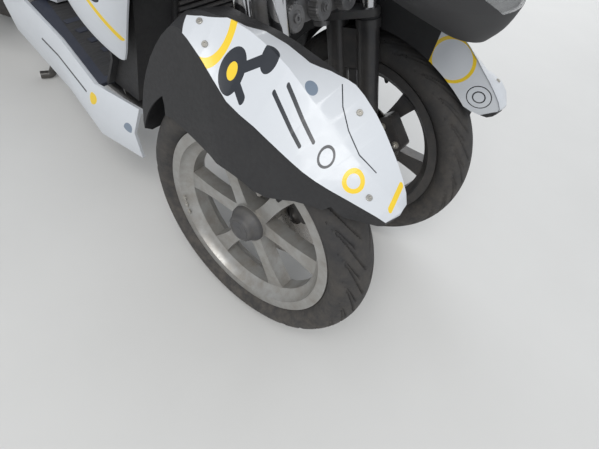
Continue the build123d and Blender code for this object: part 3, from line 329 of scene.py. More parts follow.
def skin(node, start, direction):
    """Point and outward direction where a straight line from a point first meets a CAD node."""
    if node not in skins:
        shape = bmesh.new()
        shape.from_mesh(nodes[node].data)
        skins[node] = BVHTree.FromBMesh(shape)
        shape.free()
    direction = unit(direction)
    point, normal, _, _ = skins[node].ray_cast(Vector(start), Vector(direction))
    if point is None:
        raise RuntimeError(f"{node} has no surface ahead of {np.round(start, 3)}")
    normal = np.array(normal)
    return np.array(point), -normal if normal.dot(direction) > 0 else normal


def screws_on(node, starts, direction, size):
    """Screws seated on a CAD node, one for each start, looked for along a direction."""
    return [screw(*skin(node, spot(*start), direction), size=size) for start in starts]


# Finishes
# Each row: colour, roughness, metal, coat, second colour, its share, scale of the blotches,
# bump distance in millimetres, bump scale
finishes = {
    "tyre": ((0.030, 0.030, 0.032), 0.82, 0, 0, (0.075, 0.068, 0.060), 0.55, 22, 0.10, 900),
    "rim": ((0.40, 0.40, 0.39), 0.40, 0.55, 0.1, (0.23, 0.20, 0.165), 0.60, 26, 0.04, 700),
    # Left front rim: near black as painted shade from the body above it, with brake dust in its brown
    # blotches
    "rim_dark": ((0.055, 0.056, 0.060), 0.45, 0.3, 0.1, (0.10, 0.09, 0.08), 0.5, 26, 0.04, 700),
    "disc": ((0.46, 0.45, 0.44), 0.28, 1, 0, (0.30, 0.25, 0.20), 0.5, 60, 0.03, 2500),
    "dark_metal": ((0.035, 0.035, 0.038), 0.38, 0.2, 0.2, (0.09, 0.082, 0.072), 0.45, 30, 0.05, 800),
    "cast": ((0.27, 0.27, 0.275), 0.52, 0.85, 0, (0.16, 0.145, 0.13), 0.5, 34, 0.12, 900),
    "chrome": ((0.72, 0.72, 0.73), 0.10, 1, 0, (0.55, 0.54, 0.52), 0.35, 18, 0.01, 600),
    "white": ((0.64, 0.67, 0.71), 0.36, 0, 0.22, (0.54, 0.56, 0.585), 0.30, 7, 0.010, 420),
    "black_plastic": ((0.017, 0.017, 0.019), 0.58, 0, 0, (0.038, 0.038, 0.039), 0.50, 16, 0.16, 1500),
    "deck": ((0.022, 0.027, 0.045), 0.70, 0, 0, (0.06, 0.062, 0.07), 0.5, 20, 0.12, 1200),
    "seat": ((0.028, 0.028, 0.030), 0.50, 0, 0.08, (0.05, 0.049, 0.048), 0.45, 14, 0.22, 620),
    "grip": ((0.024, 0.024, 0.026), 0.75, 0, 0, (0.05, 0.05, 0.05), 0.4, 30, 0.10, 900),
    "steel": ((0.42, 0.42, 0.42), 0.30, 1, 0, (0.25, 0.23, 0.21), 0.4, 60, 0.03, 1800),
    "reflector": ((0.85, 0.86, 0.88), 0.08, 1, 0, (0.70, 0.71, 0.73), 0.3, 30, 0.01, 400),
    "orange": ((0.75, 0.24, 0.02), 0.20, 0, 0.5, (0.60, 0.18, 0.02), 0.3, 20, 0.02, 300),
    "bulb": ((0.90, 0.90, 0.88), 0.12, 0, 0.6, (0.80, 0.79, 0.76), 0.3, 20, 0.01, 300),
    "dial": ((0.26, 0.27, 0.28), 0.45, 0, 0.2, (0.20, 0.21, 0.21), 0.3, 40, 0.01, 300),
    "mirror": ((0.80, 0.82, 0.84), 0.03, 1, 0, (0.74, 0.76, 0.78), 0.2, 10, 0.004, 100),
    "radiator": ((0.10, 0.10, 0.105), 0.55, 0.6, 0, (0.20, 0.18, 0.16), 0.5, 40, 0.10, 1500),
    "hub_dark": ((0.075, 0.075, 0.080), 0.55, 0.1, 0, (0.15, 0.14, 0.12), 0.5, 40, 0.08, 1100),
    "ink": ((0.012, 0.012, 0.013), 0.55, 0, 0, (0.03, 0.03, 0.03), 0.4, 40, 0.03, 900),
    "spring": ((0.55, 0.56, 0.58), 0.30, 0.7, 0.3, (0.36, 0.34, 0.31), 0.4, 50, 0.02, 1200),
    "thread": ((0.085, 0.085, 0.088), 0.80, 0, 0, (0.14, 0.14, 0.14), 0.4, 90, 0.06, 3000),
    "board_white": ((0.74, 0.74, 0.72), 0.42, 0, 0.2, (0.60, 0.59, 0.56), 0.4, 18, 0.02, 600),
    "red": ((0.50, 0.015, 0.012), 0.18, 0, 0.5, (0.38, 0.01, 0.01), 0.3, 40, 0.03, 500),
    "zinc": ((0.50, 0.49, 0.46), 0.38, 0.9, 0, (0.33, 0.29, 0.22), 0.5, 70, 0.04, 1500),
}
# Each row: colour, roughness and how much light a clear finish stops
clears = {
    "lens": ((0.93, 0.95, 0.96), 0.03, 0.16),
    "screen": ((0.55, 0.58, 0.60), 0.04, 0.35),
    "red_lens": ((0.62, 0.02, 0.02), 0.08, 0.80),
}
# Finishes with a leather-like grain of cells
grained = ("black_plastic", "seat", "red")
# Finishes whose colour the sidebar sets
set_colours = {"white": "body", "black_plastic": "plastic", "seat": "leather", "rim": "rims",
               "tyre": "rubber"}
# Grime of the road: which finishes take it, its colour, how high it reaches and its share at the ground
grimy = ("tyre", "rim", "rim_dark", "dark_metal", "cast", "black_plastic", "white")
grime_colour = (0.19, 0.165, 0.135)
grime_height = 0.55
grime_share, plastic_grime_share = 0.42, 0.16
dust_colour = (0.6, 0.58, 0.55)
# Materials by finish, each made once
made_finishes = {}


class Board:
    """A material's node board, with short words for adding nodes and links."""

    def __init__(self, name):
        self.material = bpy.data.materials.new(name)
        self.material.use_nodes = True
        self.nodes = self.material.node_tree.nodes
        self.links = self.material.node_tree.links
        self.shader = self.nodes["Principled BSDF"]
        self.place = self.node("ShaderNodeTexCoord").outputs["Object"]

    def node(self, kind, **settings):
        """Adds a node with settings."""
        made = self.nodes.new(kind)
        for key, value in settings.items():
            setattr(made, key, value)
        return made

    def feed(self, socket, value):
        """Links a socket, or sets its value."""
        if isinstance(value, bpy.types.NodeSocket):
            self.links.new(value, socket)
        else:
            socket.default_value = value

    def math(self, operation, *values):
        """A math node's answer."""
        made = self.node("ShaderNodeMath", operation=operation)
        for socket, value in zip(made.inputs, values):
            self.feed(socket, value)
        return made.outputs[0]

    def vector(self, operation, *values, output=0):
        """A vector math node's answer."""
        made = self.node("ShaderNodeVectorMath", operation=operation)
        for socket, value in zip(made.inputs, values):
            self.feed(socket, value)
        return made.outputs[output]

    def noise(self, scale, detail=4.0, rough=0.6):
        """Noise over the piece, from 0 to 1."""
        made = self.node("ShaderNodeTexNoise")
        self.feed(made.inputs["Vector"], self.place)
        for key, value in (("Scale", scale), ("Detail", detail), ("Roughness", rough)):
            made.inputs[key].default_value = value
        return made.outputs["Fac"]

    def cells(self, scale):
        """Distance to the nearest of many scattered points, smoothed, for grained leather and plastic."""
        made = self.node("ShaderNodeTexVoronoi", feature="SMOOTH_F1")
        self.feed(made.inputs["Vector"], self.place)
        made.inputs["Scale"].default_value = scale
        return made.outputs["Distance"]

    def spread(self, value, low, high, out_low, out_high):
        """Value led from one range to another, and held there."""
        made = self.node("ShaderNodeMapRange")
        for key, number in (("Value", value), ("From Min", low), ("From Max", high), ("To Min", out_low),
                            ("To Max", out_high)):
            self.feed(made.inputs[key], number)
        return made.outputs[0]

    def mix(self, share, first, second):
        """Colours mixed by a share."""
        made = self.node("ShaderNodeMix", data_type="RGBA")
        self.feed(made.inputs["Factor"], share)
        for key, value in ((6, first), (7, second)):
            self.feed(made.inputs[key], (*value, 1) if isinstance(value, tuple) else value)
        return made.outputs[2]

    def parts(self, vector):
        """The x, y and z of a vector."""
        made = self.node("ShaderNodeSeparateXYZ")
        self.feed(made.inputs[0], vector)
        return made.outputs

    def bump(self, height, distance):
        """A bump of this height in millimetres."""
        made = self.node("ShaderNodeBump")
        made.inputs["Distance"].default_value = distance / 1000
        self.feed(made.inputs["Height"], height)
        return made.outputs[0]

    def all_of(self, *masks):
        """1 where all masks are 1, as their product."""
        product = masks[0]
        for mask in masks[1:]:
            product = self.math("MULTIPLY", product, mask)
        return product

    def paint(self, shade):
        """Leads a colour to the shader and gives the finished material."""
        self.feed(self.shader.inputs["Base Color"], shade)
        return self.material


def coat_board(board, name):
    """Lays a finish's colour, blotches, roughness and grain on a board; returns the colour."""
    colour, rough, metal, coat, second, share, scale, bump, grain_scale = finishes[name]
    if name in set_colours:
        colour = tuple(getattr(bpy.context.scene.scooter_paint, set_colours[name]))
    blotch = board.spread(board.noise(scale, 6.0, 0.65), 0.38, 0.72, 0.0, share)
    shade = board.mix(blotch, colour, second)
    fine = board.spread(board.noise(scale * 9, 3.0), 0.3, 0.8, -0.05, 0.10)
    blotch_rough = board.spread(blotch, 0, share, rough - 0.04, rough + 0.09)
    board.feed(board.shader.inputs["Roughness"], board.math("ADD", blotch_rough, fine))
    board.shader.inputs["Metallic"].default_value = metal
    board.shader.inputs["Coat Weight"].default_value = coat
    board.shader.inputs["Coat Roughness"].default_value = 0.08
    height = board.cells(grain_scale) if name in grained else board.noise(grain_scale, 3.0)
    board.feed(board.shader.inputs["Normal"], board.bump(height, bump))
    return shade


def clear_board(board, name):
    """A clear finish with a thin, blotchy layer of dust that stops some light."""
    colour, rough, alpha = clears[name]
    dust = board.spread(board.noise(55, 5.0), 0.50, 0.85, 0.0, 0.09)
    board.shader.inputs["Roughness"].default_value = rough
    board.feed(board.shader.inputs["Alpha"], board.math("ADD", dust, alpha))
    board.shader.inputs["Coat Weight"].default_value = 0.5
    return board.mix(dust, colour, dust_colour)


def finish(name):
    """The material of a finish, made once."""
    if name in made_finishes:
        return made_finishes[name]
    board = Board(name)
    made_finishes[name] = board.material
    if name in clears:
        return board.paint(clear_board(board, name))
    shade = coat_board(board, name)
    if name in grimy:
        share = plastic_grime_share if name == "black_plastic" else grime_share
        low = board.spread(board.parts(board.place)["Z"], 0.0, grime_height, share, 0.0)
        spots = board.spread(board.noise(48, 6.0, 0.7), 0.4, 0.7, 0.1, 1.0)
        shade = board.mix(board.math("MULTIPLY", low, spots), shade, grime_colour)
    return board.paint(shade)


def glossy_where(board, mask, rough, coat):
    """Turns the coat, roughness and grain of a board to those of another finish where the mask is 1."""
    inputs = board.shader.inputs
    before = inputs["Roughness"].links[0].from_socket
    left = board.math("SUBTRACT", 1.0, mask)
    for key, old, new in (("Roughness", before, rough),
                          ("Coat Weight", inputs["Coat Weight"].default_value, coat)):
        kept = board.math("MULTIPLY", left, old)
        board.feed(inputs[key], board.math("ADD", kept, board.math("MULTIPLY", mask, new)))
    strength = board.math("ADD", board.math("MULTIPLY", left, 0.9), 0.1)
    board.feed(board.nodes["Bump"].inputs["Strength"], strength)


# Marks of the livery
TOP, SIDE = 2, 1
yellow, ink, grey_blue = "accent", "outline", "second"
plastic = (0.030, 0.030, 0.032)


def flat_from(board, centre, axis):
    """The way from a place to each point, with its share along an axis left out."""
    mask = tuple(0.0 if n == axis else 1.0 for n in range(3))
    return board.vector("MULTIPLY", board.vector("SUBTRACT", board.place, tuple(spot(*centre))), mask)


def near(board, flat, radius, half):
    """1 where the length of a way is within a half width of a radius, in millimetres."""
    away = board.vector("LENGTH", flat, output=1)
    off = board.math("ABSOLUTE", board.math("SUBTRACT", away, radius / 1000))
    return board.math("LESS_THAN", off, half / 1000)


def past(board, flat, direction, reach=0.0):
    """1 where a way goes further than a reach in millimetres along a direction, by their dot product."""
    return board.math("GREATER_THAN", board.vector("DOT_PRODUCT", flat, direction, output=1), reach / 1000)


def on_line(board, flat, end, width):
    """1 within half a width of the line from a place to an end: its nearest point is share * end."""
    along = board.vector("DOT_PRODUCT", flat, tuple(end), output=1)
    share = board.spread(board.math("DIVIDE", along, float(end.dot(end))), 0.0, 1.0, 0.0, 1.0)
    scaled = board.node("ShaderNodeVectorMath", operation="SCALE")
    scaled.inputs[0].default_value = tuple(end)
    board.feed(scaled.inputs["Scale"], share)
    away = board.vector("LENGTH", board.vector("SUBTRACT", flat, scaled.outputs[0]), output=1)
    return board.math("LESS_THAN", away, width / 2000)


def livery(name, marks):
    """White paint with generic marks, each drawn by its distance from a line, ring or disc.

    A mark is its kind, colour, the axis it is seen along, its middle and its sizes in millimetres: a
    disc's radius; a ring's radius and width, with a direction and a reach that it is cut at; a line's
    other end and width; and for what lies beyond a place, the direction that it lies in.
    """
    board = Board(name)
    shade = coat_board(board, "white")
    for kind, colour, axis, centre, *sizes in marks:
        if isinstance(colour, str):
            colour = tuple(getattr(bpy.context.scene.scooter_paint, colour))
        flat = flat_from(board, centre, axis)
        if kind == "disc":
            inside = board.math("LESS_THAN", board.vector("LENGTH", flat, output=1), sizes[0] / 1000)
        elif kind == "ring":
            inside = near(board, flat, sizes[0], sizes[1] / 2)
            if len(sizes) > 2:
                inside = board.all_of(inside, past(board, flat, sizes[2], sizes[3]))
        elif kind == "line":
            end = spot(*sizes[0]) - spot(*centre)
            end[axis] = 0.0
            inside = on_line(board, flat, end, sizes[1])
        else:
            inside = past(board, flat, tuple(float(n) for n in unit(sizes[0])))
            glossy_where(board, inside, 0.6, 0.0)
        shade = board.mix(inside, shade, colour)
    return board.paint(shade)


# Where the inner sides of the front mudguards are painted: widest place across, rearmost place,
# lower edge at the axle and how much it falls for each millimetre ahead
paint_y = 176
paint_x = 80
paint_z = 486
paint_fall = 0.225
# Rings on that paint: colour, middle, radius and half width
guard_rings = (
    (yellow, (118, 0, 520), 40, 3.2),
    (ink, (190, 0, 478), 22, 1.0),
    (ink, (190, 0, 478), 11, 1.3),
)


def guard_board(name):
    """Grained plastic whose inner side is painted body-coloured ahead of the fork, with rings on it."""
    board = Board(name)
    shade = coat_board(board, "black_plastic")
    paint = bpy.context.scene.scooter_paint
    x, y, z = board.parts(board.vector("SUBTRACT", board.place, tuple(spot(0, 0, 0))))
    inner = board.math("LESS_THAN", board.math("ABSOLUTE", y), paint_y / 1000)
    ahead = board.math("GREATER_THAN", x, paint_x / 1000)
    edge = board.math("SUBTRACT", paint_z / 1000, board.math("MULTIPLY", x, paint_fall))
    mask = board.all_of(inner, ahead, board.math("GREATER_THAN", z, edge))
    glossy_where(board, mask, 0.26, 0.6)
    shade = board.mix(mask, shade, tuple(paint.body))
    for colour, centre, radius, half in guard_rings:
        ring = near(board, flat_from(board, centre, SIDE), radius, half)
        shade = board.mix(board.all_of(ring, mask), shade, tuple(getattr(paint, colour)))
    return board.paint(shade)


liveries = {
    "nose_cowl": [
        ("beyond", plastic, SIDE, (190, 0, 716), (-0.16, 0, -1.0)),
    ],
    "front_panel": [
        ("line", ink, TOP, (60, -30, 0), (128, -96, 0), 3.2),
        ("line", ink, TOP, (60, 30, 0), (128, 96, 0), 3.2),
        ("disc", grey_blue, TOP, (96, 0, 0), 15),
        ("ring", ink, TOP, (96, 0, 0), 16, 2.5),
    ],
    "mudguard_panel_right": [
        ("ring", yellow, TOP, (-104, -226, 0), 36, 10, (1.0, 0.0, 0.0), -12),
        ("line", ink, TOP, (-44, -236, 0), (-6, -212, 0), 9),
        ("line", ink, TOP, (-44, -236, 0), (-14, -246, 0), 8),
        ("disc", ink, TOP, (-44, -236, 0), 18),
        ("disc", ink, TOP, (-4, -210, 0), 12),
        ("disc", yellow, TOP, (-44, -236, 0), 7),
        ("disc", grey_blue, TOP, (58, -196, 0), 9),
        ("line", ink, TOP, (22, -226, 0), (86, -238, 0), 4),
        ("line", ink, TOP, (34, -214, 0), (98, -226, 0), 4),
        ("ring", yellow, TOP, (168, -222, 0), 12, 6),
        ("ring", ink, TOP, (122, -226, 0), 10, 3),
        ("line", ink, TOP, (81, -160, 0), (100, -178, 0), 1.6),
        ("line", ink, TOP, (100, -178, 0), (124, -190, 0), 1.6),
        ("line", ink, TOP, (124, -190, 0), (153, -197, 0), 1.6),
        ("line", ink, TOP, (153, -197, 0), (182, -193, 0), 1.6),
        ("line", yellow, TOP, (214, -170, 0), (224, -206, 0), 7),
    ],
    "mudguard_panel_left": [
        ("ring", yellow, TOP, (112, 176, 0), 34, 6, (-1.0, 0.0, 0.0), -14),
        ("disc", ink, TOP, (-64, 226, 0), 15),
        ("disc", yellow, TOP, (-64, 226, 0), 6),
        ("line", ink, TOP, (-64, 226, 0), (-18, 236, 0), 7),
        ("disc", ink, TOP, (-18, 236, 0), 10),
        ("ring", ink, TOP, (156, 212, 0), 13, 2),
        ("ring", yellow, TOP, (60, 226, 0), 12, 5),
    ],
    "shield_wings": [
        ("ring", yellow, SIDE, (-392, 0, 700), 62, 14, (0.0, 0.0, 1.0), -30),
        ("disc", ink, SIDE, (-372, 0, 560), 13),
        ("disc", ink, SIDE, (-352, 0, 520), 8),
        ("line", ink, SIDE, (-372, 0, 560), (-352, 0, 520), 5),
        ("line", yellow, SIDE, (-332, 0, 450), (-420, 0, 620), 7),
    ],
    "side_skirts": [
        ("line", ink, SIDE, (-470, 0, 268), (-700, 0, 262), 4),
        ("disc", yellow, SIDE, (-440, 0, 270), 12),
        ("disc", grey_blue, SIDE, (-340, 0, 252), 11),
    ],
    "side_covers": [
        ("ring", yellow, SIDE, (-1010, 0, 600), 74, 12, (1.0, 0.0, 0.0), -30),
        ("line", ink, SIDE, (-1110, 0, 620), (-1176, 0, 656), 11),
        ("line", ink, SIDE, (-1110, 0, 620), (-1150, 0, 560), 10),
        ("disc", ink, SIDE, (-1110, 0, 620), 26),
        ("disc", ink, SIDE, (-1176, 0, 656), 17),
        ("disc", ink, SIDE, (-1150, 0, 560), 14),
        ("disc", yellow, SIDE, (-1110, 0, 620), 10),
        ("ring", ink, SIDE, (-860, 0, 640), 26, 2.5),
        ("ring", ink, SIDE, (-860, 0, 640), 12, 4),
        ("line", yellow, SIDE, (-760, 0, 520), (-940, 0, 470), 9),
        ("disc", grey_blue, SIDE, (-1330, 0, 600), 16),
        ("line", ink, SIDE, (-1215, 0, 520), (-1400, 0, 560), 3),
    ],
}
plain_nodes = {
    "disc_front_left": "disc", "disc_front_right": "disc", "hub_cap_left": "hub_dark",
    # The left front rim takes the darker finish: painted shade with brake dust
    "hub_cap_right": "hub_dark", "rim_front_left": "rim_dark", "rim_front_right": "rim", "rim_rear": "rim",
    "fork_left": "dark_metal", "fork_right": "dark_metal", "stanchions_left": "chrome",
    "stanchions_right": "chrome", "lean_linkage": "cast", "frame": "dark_metal",
    "handlebar": "dark_metal", "tie_rod": "cast", "headlamp": "lens", "windscreen": "screen",
    "leg_shield": "black_plastic", "floorboard": "deck", "luggage_box": "black_plastic",
    "tail_lamp": "red_lens", "grab_rail": "cast", "rear_mudguard": "black_plastic",
    "engine_unit": "cast", "rear_shocks": "dark_metal", "silencer": "dark_metal",
    "handlebar_cover": "black_plastic", "grips": "grip", "mirrors": "black_plastic",
    "centre_stand": "dark_metal", "side_stand": "dark_metal", "seat": "seat",
    "tyre_front_left": "tyre", "tyre_front_right": "tyre", "tyre_rear": "tyre", "tail_cover": "white",
}
# Painted nodes whose shading is evened out over their large faces
even_nodes = ("mudguard_panel_left", "mudguard_panel_right", "nose_cowl", "front_panel", "shield_wings")
sharp_edge_angle = radians(32)
merge_distance = 2e-6


def smoothing():
    """A modifier group that merges loose triangles and marks the edges over an angle sharp."""
    group = bpy.data.node_groups.new("merge and smooth", "GeometryNodeTree")
    group.interface.new_socket("Geometry", in_out="INPUT", socket_type="NodeSocketGeometry")
    group.interface.new_socket("Geometry", in_out="OUTPUT", socket_type="NodeSocketGeometry")
    group.is_modifier = True
    start = group.nodes.new("NodeGroupInput")
    end = group.nodes.new("NodeGroupOutput")
    merge = group.nodes.new("GeometryNodeMergeByDistance")
    merge.inputs["Distance"].default_value = merge_distance
    angle = group.nodes.new("GeometryNodeInputMeshEdgeAngle")
    over = group.nodes.new("FunctionNodeCompare")
    over.inputs[1].default_value = sharp_edge_angle
    store = group.nodes.new("GeometryNodeStoreNamedAttribute")
    store.data_type = "BOOLEAN"
    store.domain = "EDGE"
    store.inputs["Name"].default_value = "sharp_edge"
    links = group.links
    links.new(start.outputs[0], merge.inputs["Geometry"])
    links.new(merge.outputs[0], store.inputs["Geometry"])
    links.new(angle.outputs["Unsigned Angle"], over.inputs[0])
    links.new(over.outputs[0], store.inputs["Value"])
    links.new(store.outputs[0], end.inputs[0])
    return group


smooth_group = smoothing()


def dress(node, material):
    """Gives a CAD node its material and smooth shading; its shape stays."""
    made = nodes[node]
    made.data.polygons.foreach_set("use_smooth", [True] * len(made.data.polygons))
    made.data.materials.clear()
    made.data.materials.append(material)
    made.modifiers.new("smooth", "NODES").node_group = smooth_group
    if node in even_nodes:
        even = made.modifiers.new("even", "WEIGHTED_NORMAL")
        even.keep_sharp = True
        even.weight = 80


def dress_nodes():
    """Gives every CAD node its finish or livery."""
    for node, name in plain_nodes.items():
        dress(node, finish(name))
    for node, marks in liveries.items():
        dress(node, livery(node + " livery", marks))
    for name, _ in SIDES:
        dress("mudguard_" + name, guard_board("mudguard_" + name + " paint"))


# Sizes and colours a user may change
def colour(name, text, default):
    """A colour property of three shares, shown as a colour field."""
    return FloatVectorProperty(name=name, description=text, subtype="COLOR", size=3, min=0, max=1,
                               default=default)


def length(name, text, default, low=0.0, high=0.2):
    """A length property in metres."""
    return FloatProperty(name=name, description=text, default=default, min=low, max=high, precision=4,
                         unit="LENGTH", subtype="DISTANCE")


class ScooterPaint(bpy.types.PropertyGroup):
    """Colours of the livery, the mouldings and the wheels."""

    body: colour("Body paint", "Colour of the painted panels", finishes["white"][0])
    accent: colour("Accent", "Colour of the rings and bars of the livery", (0.86, 0.60, 0.03))
    outline: colour("Outline", "Dark colour of the livery's lines and dots", (0.018, 0.022, 0.030))
    second: colour("Second accent", "Muted colour of the livery's small discs", (0.20, 0.25, 0.32))
    plastic: colour("Plastic", "Colour of the grained mouldings", finishes["black_plastic"][0])
    leather: colour("Seat cover", "Colour of the seat's cover", finishes["seat"][0])
    rims: colour("Rims", "Colour of the cast rims", finishes["rim"][0])
    rubber: colour("Tyre rubber", "Colour of the tyres", finishes["tyre"][0])


class ScooterTyres(bpy.types.PropertyGroup):
    """Sizes of the tread."""

    groove_depth: length("Groove depth", "Depth of the tread's grooves", 0.0038, 0.001, 0.006)
    groove_width: length("Groove width", "Width of the widest grooves", 0.0080, 0.002, 0.012)
    front_grooves: IntProperty(name="Front grooves", description="Grooves round a front tyre", default=26,
                               min=8, max=60)
    rear_grooves: IntProperty(name="Rear grooves", description="Grooves round the rear tyre", default=26,
                              min=8, max=60)
    rounds: IntProperty(name="Steps round", description="Points round a tyre", default=760, min=200, max=900)


class ScooterHardware(bpy.types.PropertyGroup):
    """Sizes of the fasteners and springs."""

    screw: length("Screw radius", "Head radius of the panel screws", 0.0045, 0.002, 0.01)
    nut: length("Nut radius", "Corner radius of the common nuts", 0.0075, 0.003, 0.02)
    disc_bolt: length("Disc bolt radius", "Head radius of the brake discs' bolts", 0.0055, 0.003, 0.01)
    case_bolt: length("Case bolt radius", "Corner radius of the belt case's bolts", 0.0046, 0.003, 0.01)
    rivet: length("Rivet radius", "Head radius of the heat shield's rivets", 0.0048, 0.002, 0.01)
    spring_wire: length("Spring wire", "Wire radius of the shock springs", 0.0042, 0.002, 0.006)
    spring_turns: FloatProperty(name="Spring turns", description="Turns of each shock spring", default=8.5,
                                min=3, max=14)


class ScooterLamps(bpy.types.PropertyGroup):
    """Sizes of the headlamps."""

    bowl: length("Bowl radius", "Radius of each reflector's bowl", 0.045, 0.03, 0.05)
    dip: length("Bowl depth", "Depth of each reflector's bowl", 0.046, 0.02, 0.05)


class ScooterSeat(bpy.types.PropertyGroup):
    """Sizes of the padded seat."""

    swell: length("Swell", "Furthest a point of the cover moves when the foam is blown up", 0.009, 0.0, 0.02)
    voxel: length("Remesh size", "Size of the remesh under the cover", 0.0058, 0.004, 0.012)
    pressure: FloatProperty(name="Pressure", description="Pressure inside the cover", default=4.0,
                            min=0, max=12)
    piping: length("Piping", "Radius of the cord round the seat's edge", 0.0026, 0.001, 0.006)
    stitch: length("Stitch", "Length of one stitch and its gap", 0.0075, 0.004, 0.02)


class ScooterControls(bpy.types.PropertyGroup):
    """Sizes of the levers and instruments."""

    lever: length("Lever radius", "Half thickness of the brake levers", 0.0058, 0.003, 0.01)
    reach: length("Lever reach", "Distance of the levers ahead of the grips", 0.052, 0.03, 0.08)
    dial: length("Dial radius", "Radius of the main dial", 0.036, 0.02, 0.045)


class ScooterStage(bpy.types.PropertyGroup):
    """Lamps and floor of the studio."""

    key: FloatProperty(name="Key lamp", description="Power of the key lamp", default=95, min=0, max=1000,
                       unit="POWER")
    fill: FloatProperty(name="Fill lamp", description="Power of the fill lamp", default=42, min=0, max=1000,
                        unit="POWER")
    edge: FloatProperty(name="Edge lamp", description="Power of the lamp behind", default=30, min=0, max=1000,
                        unit="POWER")
    floor: colour("Floor", "Colour of the floor", (0.63, 0.63, 0.62))


# Tyres
def arc_points(first, middle, last, count):
    """Points of the circle through three points, from the first to the last.

    Its middle is as far from each of the three: the circumcentre formula, with their squared distances.
    """
    corners = np.array((first, middle, last), float)
    (ax, ay), (bx, by), (cx, cy) = corners
    square_a, square_b, square_c = (corners ** 2).sum(1)
    double_area = 2 * (ax * (by - cy) + bx * (cy - ay) + cx * (ay - by))
    ux = (square_a * (by - cy) + square_b * (cy - ay) + square_c * (ay - by)) / double_area
    uy = (square_a * (cx - bx) + square_b * (ax - cx) + square_c * (bx - ax)) / double_area
    radius = np.hypot(ax - ux, ay - uy)
    angles = np.unwrap(np.arctan2(corners[:, 1] - uy, corners[:, 0] - ux))
    if (angles[1] - angles[0]) * (angles[2] - angles[1]) < 0:
        angles[2] += 2 * pi * np.sign(angles[1] - angles[0])
    turn = np.linspace(angles[0], angles[2], count)
    return np.stack([ux + radius * np.cos(turn), uy + radius * np.sin(turn)], -1)


# Each row: body, radius, half width, bead radius, half width at the bead, which count of grooves it takes
tyre_sizes = {
    "front_left": ("wheel_front_left", 250.0, 45.0, 179.3, 29.5, "front_grooves"),
    "front_right": ("wheel_front_right", 250.0, 45.0, 179.3, 29.5, "front_grooves"),
    "rear": ("wheel_rear", 251.5, 55.0, 153.3, 37.5, "rear_grooves"),
}
# Tread's share of the half width, how far the shoulder lies below the crown, and the casing's wall
tread_share = 0.8
shoulder_drop = 14
casing = 8.0
# Points along the crown, an outer wall and each inner stretch
crown_points, wall_points, inner_points = 46, 14, 8
# Each row: shift of a step, start and end as shares of the half tread, slant, share of the width
groove_lines = ((0.0, 0.13, 1.16, 1.45, 1.0), (0.46, 0.50, 1.26, 1.15, 0.72))


def groove(turn, sideways, half_tread, count, radius, width, depth):
    """Depth of the tread's slanted grooves: a band round curved lines that repeat round the tyre.

    A line's angle grows with the 1.7th power of its share of the way to the shoulder, a groove widens
    towards the shoulder, and the lines of the two sides stand half a step apart.
    """
    step = 2 * pi / count
    share = np.abs(sideways) / half_tread
    side = np.where(sideways > 0, 0.5, 0.0)
    cut = np.zeros(np.broadcast(turn, sideways).shape)
    for offset, start, end, slant, part in groove_lines:
        phase = (turn / step - side - offset - slant * share ** 1.7) % 1.0
        away = np.abs(phase - 0.5) * step * radius
        half = width * part / 2 * (0.72 + 0.42 * share)
        wall = np.clip((half - away) / 1.2 + 0.5, 0, 1)
        ends = np.clip((share - start) / 0.07, 0, 1) * np.clip((end - share) / 0.10, 0, 1)
        cut = np.maximum(cut, wall * ends)
    return cut * depth


def tyre_section(radius, half, bead, bead_half):
    """Places across and distances from the axle round a tyre's section, and which of them lie outside.

    Crown, walls and inner casing are arcs through three points, joined by a straight-sided bead. The
    walls lie a little inside these arcs but for two raised lines, each a bell curve of the distance.
    """
    tread, shoulder = half * tread_share, radius - shoulder_drop
    waist = (radius + bead) / 2 + 2
    inner = bead_half - casing
    inner_shoulder = (tread - casing, shoulder - casing)
    crown = arc_points((-tread, shoulder), (0, radius), (tread, shoulder), crown_points)
    wall = arc_points((tread, shoulder), (half, waist), (bead_half + 3, bead + 14.5), wall_points)
    inside = arc_points((inner, bead + 16), (half - casing, waist + 2), inner_shoulder, inner_points)
    under = arc_points(inner_shoulder, (0, radius - casing - 3), (casing - tread, shoulder - casing),
                       inner_points)
    foot = [(bead_half + 0.5, bead + 13.2), (bead_half, bead + 3), (bead_half - 1, bead), (inner, bead)]
    left = [(-y, r) for y, r in [*wall[1:], *foot, *inside[:-1]]][::-1]
    section = np.array([*crown, *wall[1:], *foot, *inside, *under[1:-1], *left])
    sideways, distance = section[:, 0].copy(), section[:, 1].copy()
    outer = np.zeros(len(section), bool)
    outer[:crown_points + wall_points - 1] = True
    outer[len(section) - len(left):] = True
    lines = (0.9 * np.exp(-((distance - (bead + 24)) / 1.8) ** 2)
             + 0.5 * np.exp(-((distance - (waist + 9)) / 1.2) ** 2))
    low_wall = outer & (distance < shoulder - 4)
    sideways = sideways - np.sign(sideways) * np.where(low_wall, 0.9 - lines, 0) * 0.9
    return sideways, distance, outer & (distance > shoulder - 6)


def build_tyres(settings):
    """Tyres: a closed section turned round the axle, less the depth that groove() gives for each point."""
    for name, (body, radius, half, bead, bead_half, count) in tyre_sizes.items():
        sideways, distance, grooved = tyre_section(radius, half, bead, bead_half)
        turn = np.linspace(0, 2 * pi, settings.rounds, endpoint=False)[:, None]
        cut = groove(turn, sideways[None, :], half * tread_share, getattr(settings, count), radius,
                     settings.groove_width * 1000, settings.groove_depth * 1000)
        size = (distance[None, :] - np.where(grooved, cut, 0.0)) / 1000
        centre = axle[name]
        points = np.stack([centre[0] + size * np.cos(turn),
                           np.broadcast_to(centre[1] + sideways / 1000, size.shape),
                           centre[2] + size * np.sin(turn)], -1)
        piece("tread_tyre_" + name, [surface(points, True, True)], "tyre", body, sharp=40,
              replaces=("tyre_" + name,))


# Wheels
# Where the valves stand and the weights sit, as distances from the axle and angles from straight ahead
valve_angles = {"left": 94, "right": 64}
front_valve_radius, rear_valve_radius = 152, 128
rear_valve_angle = 70
weight_radius, weight_side = 170.5, 30.5
weight_angles = (200, 205.5, 211)
disc_bolt_circle = 34
rear_disc_y = -54


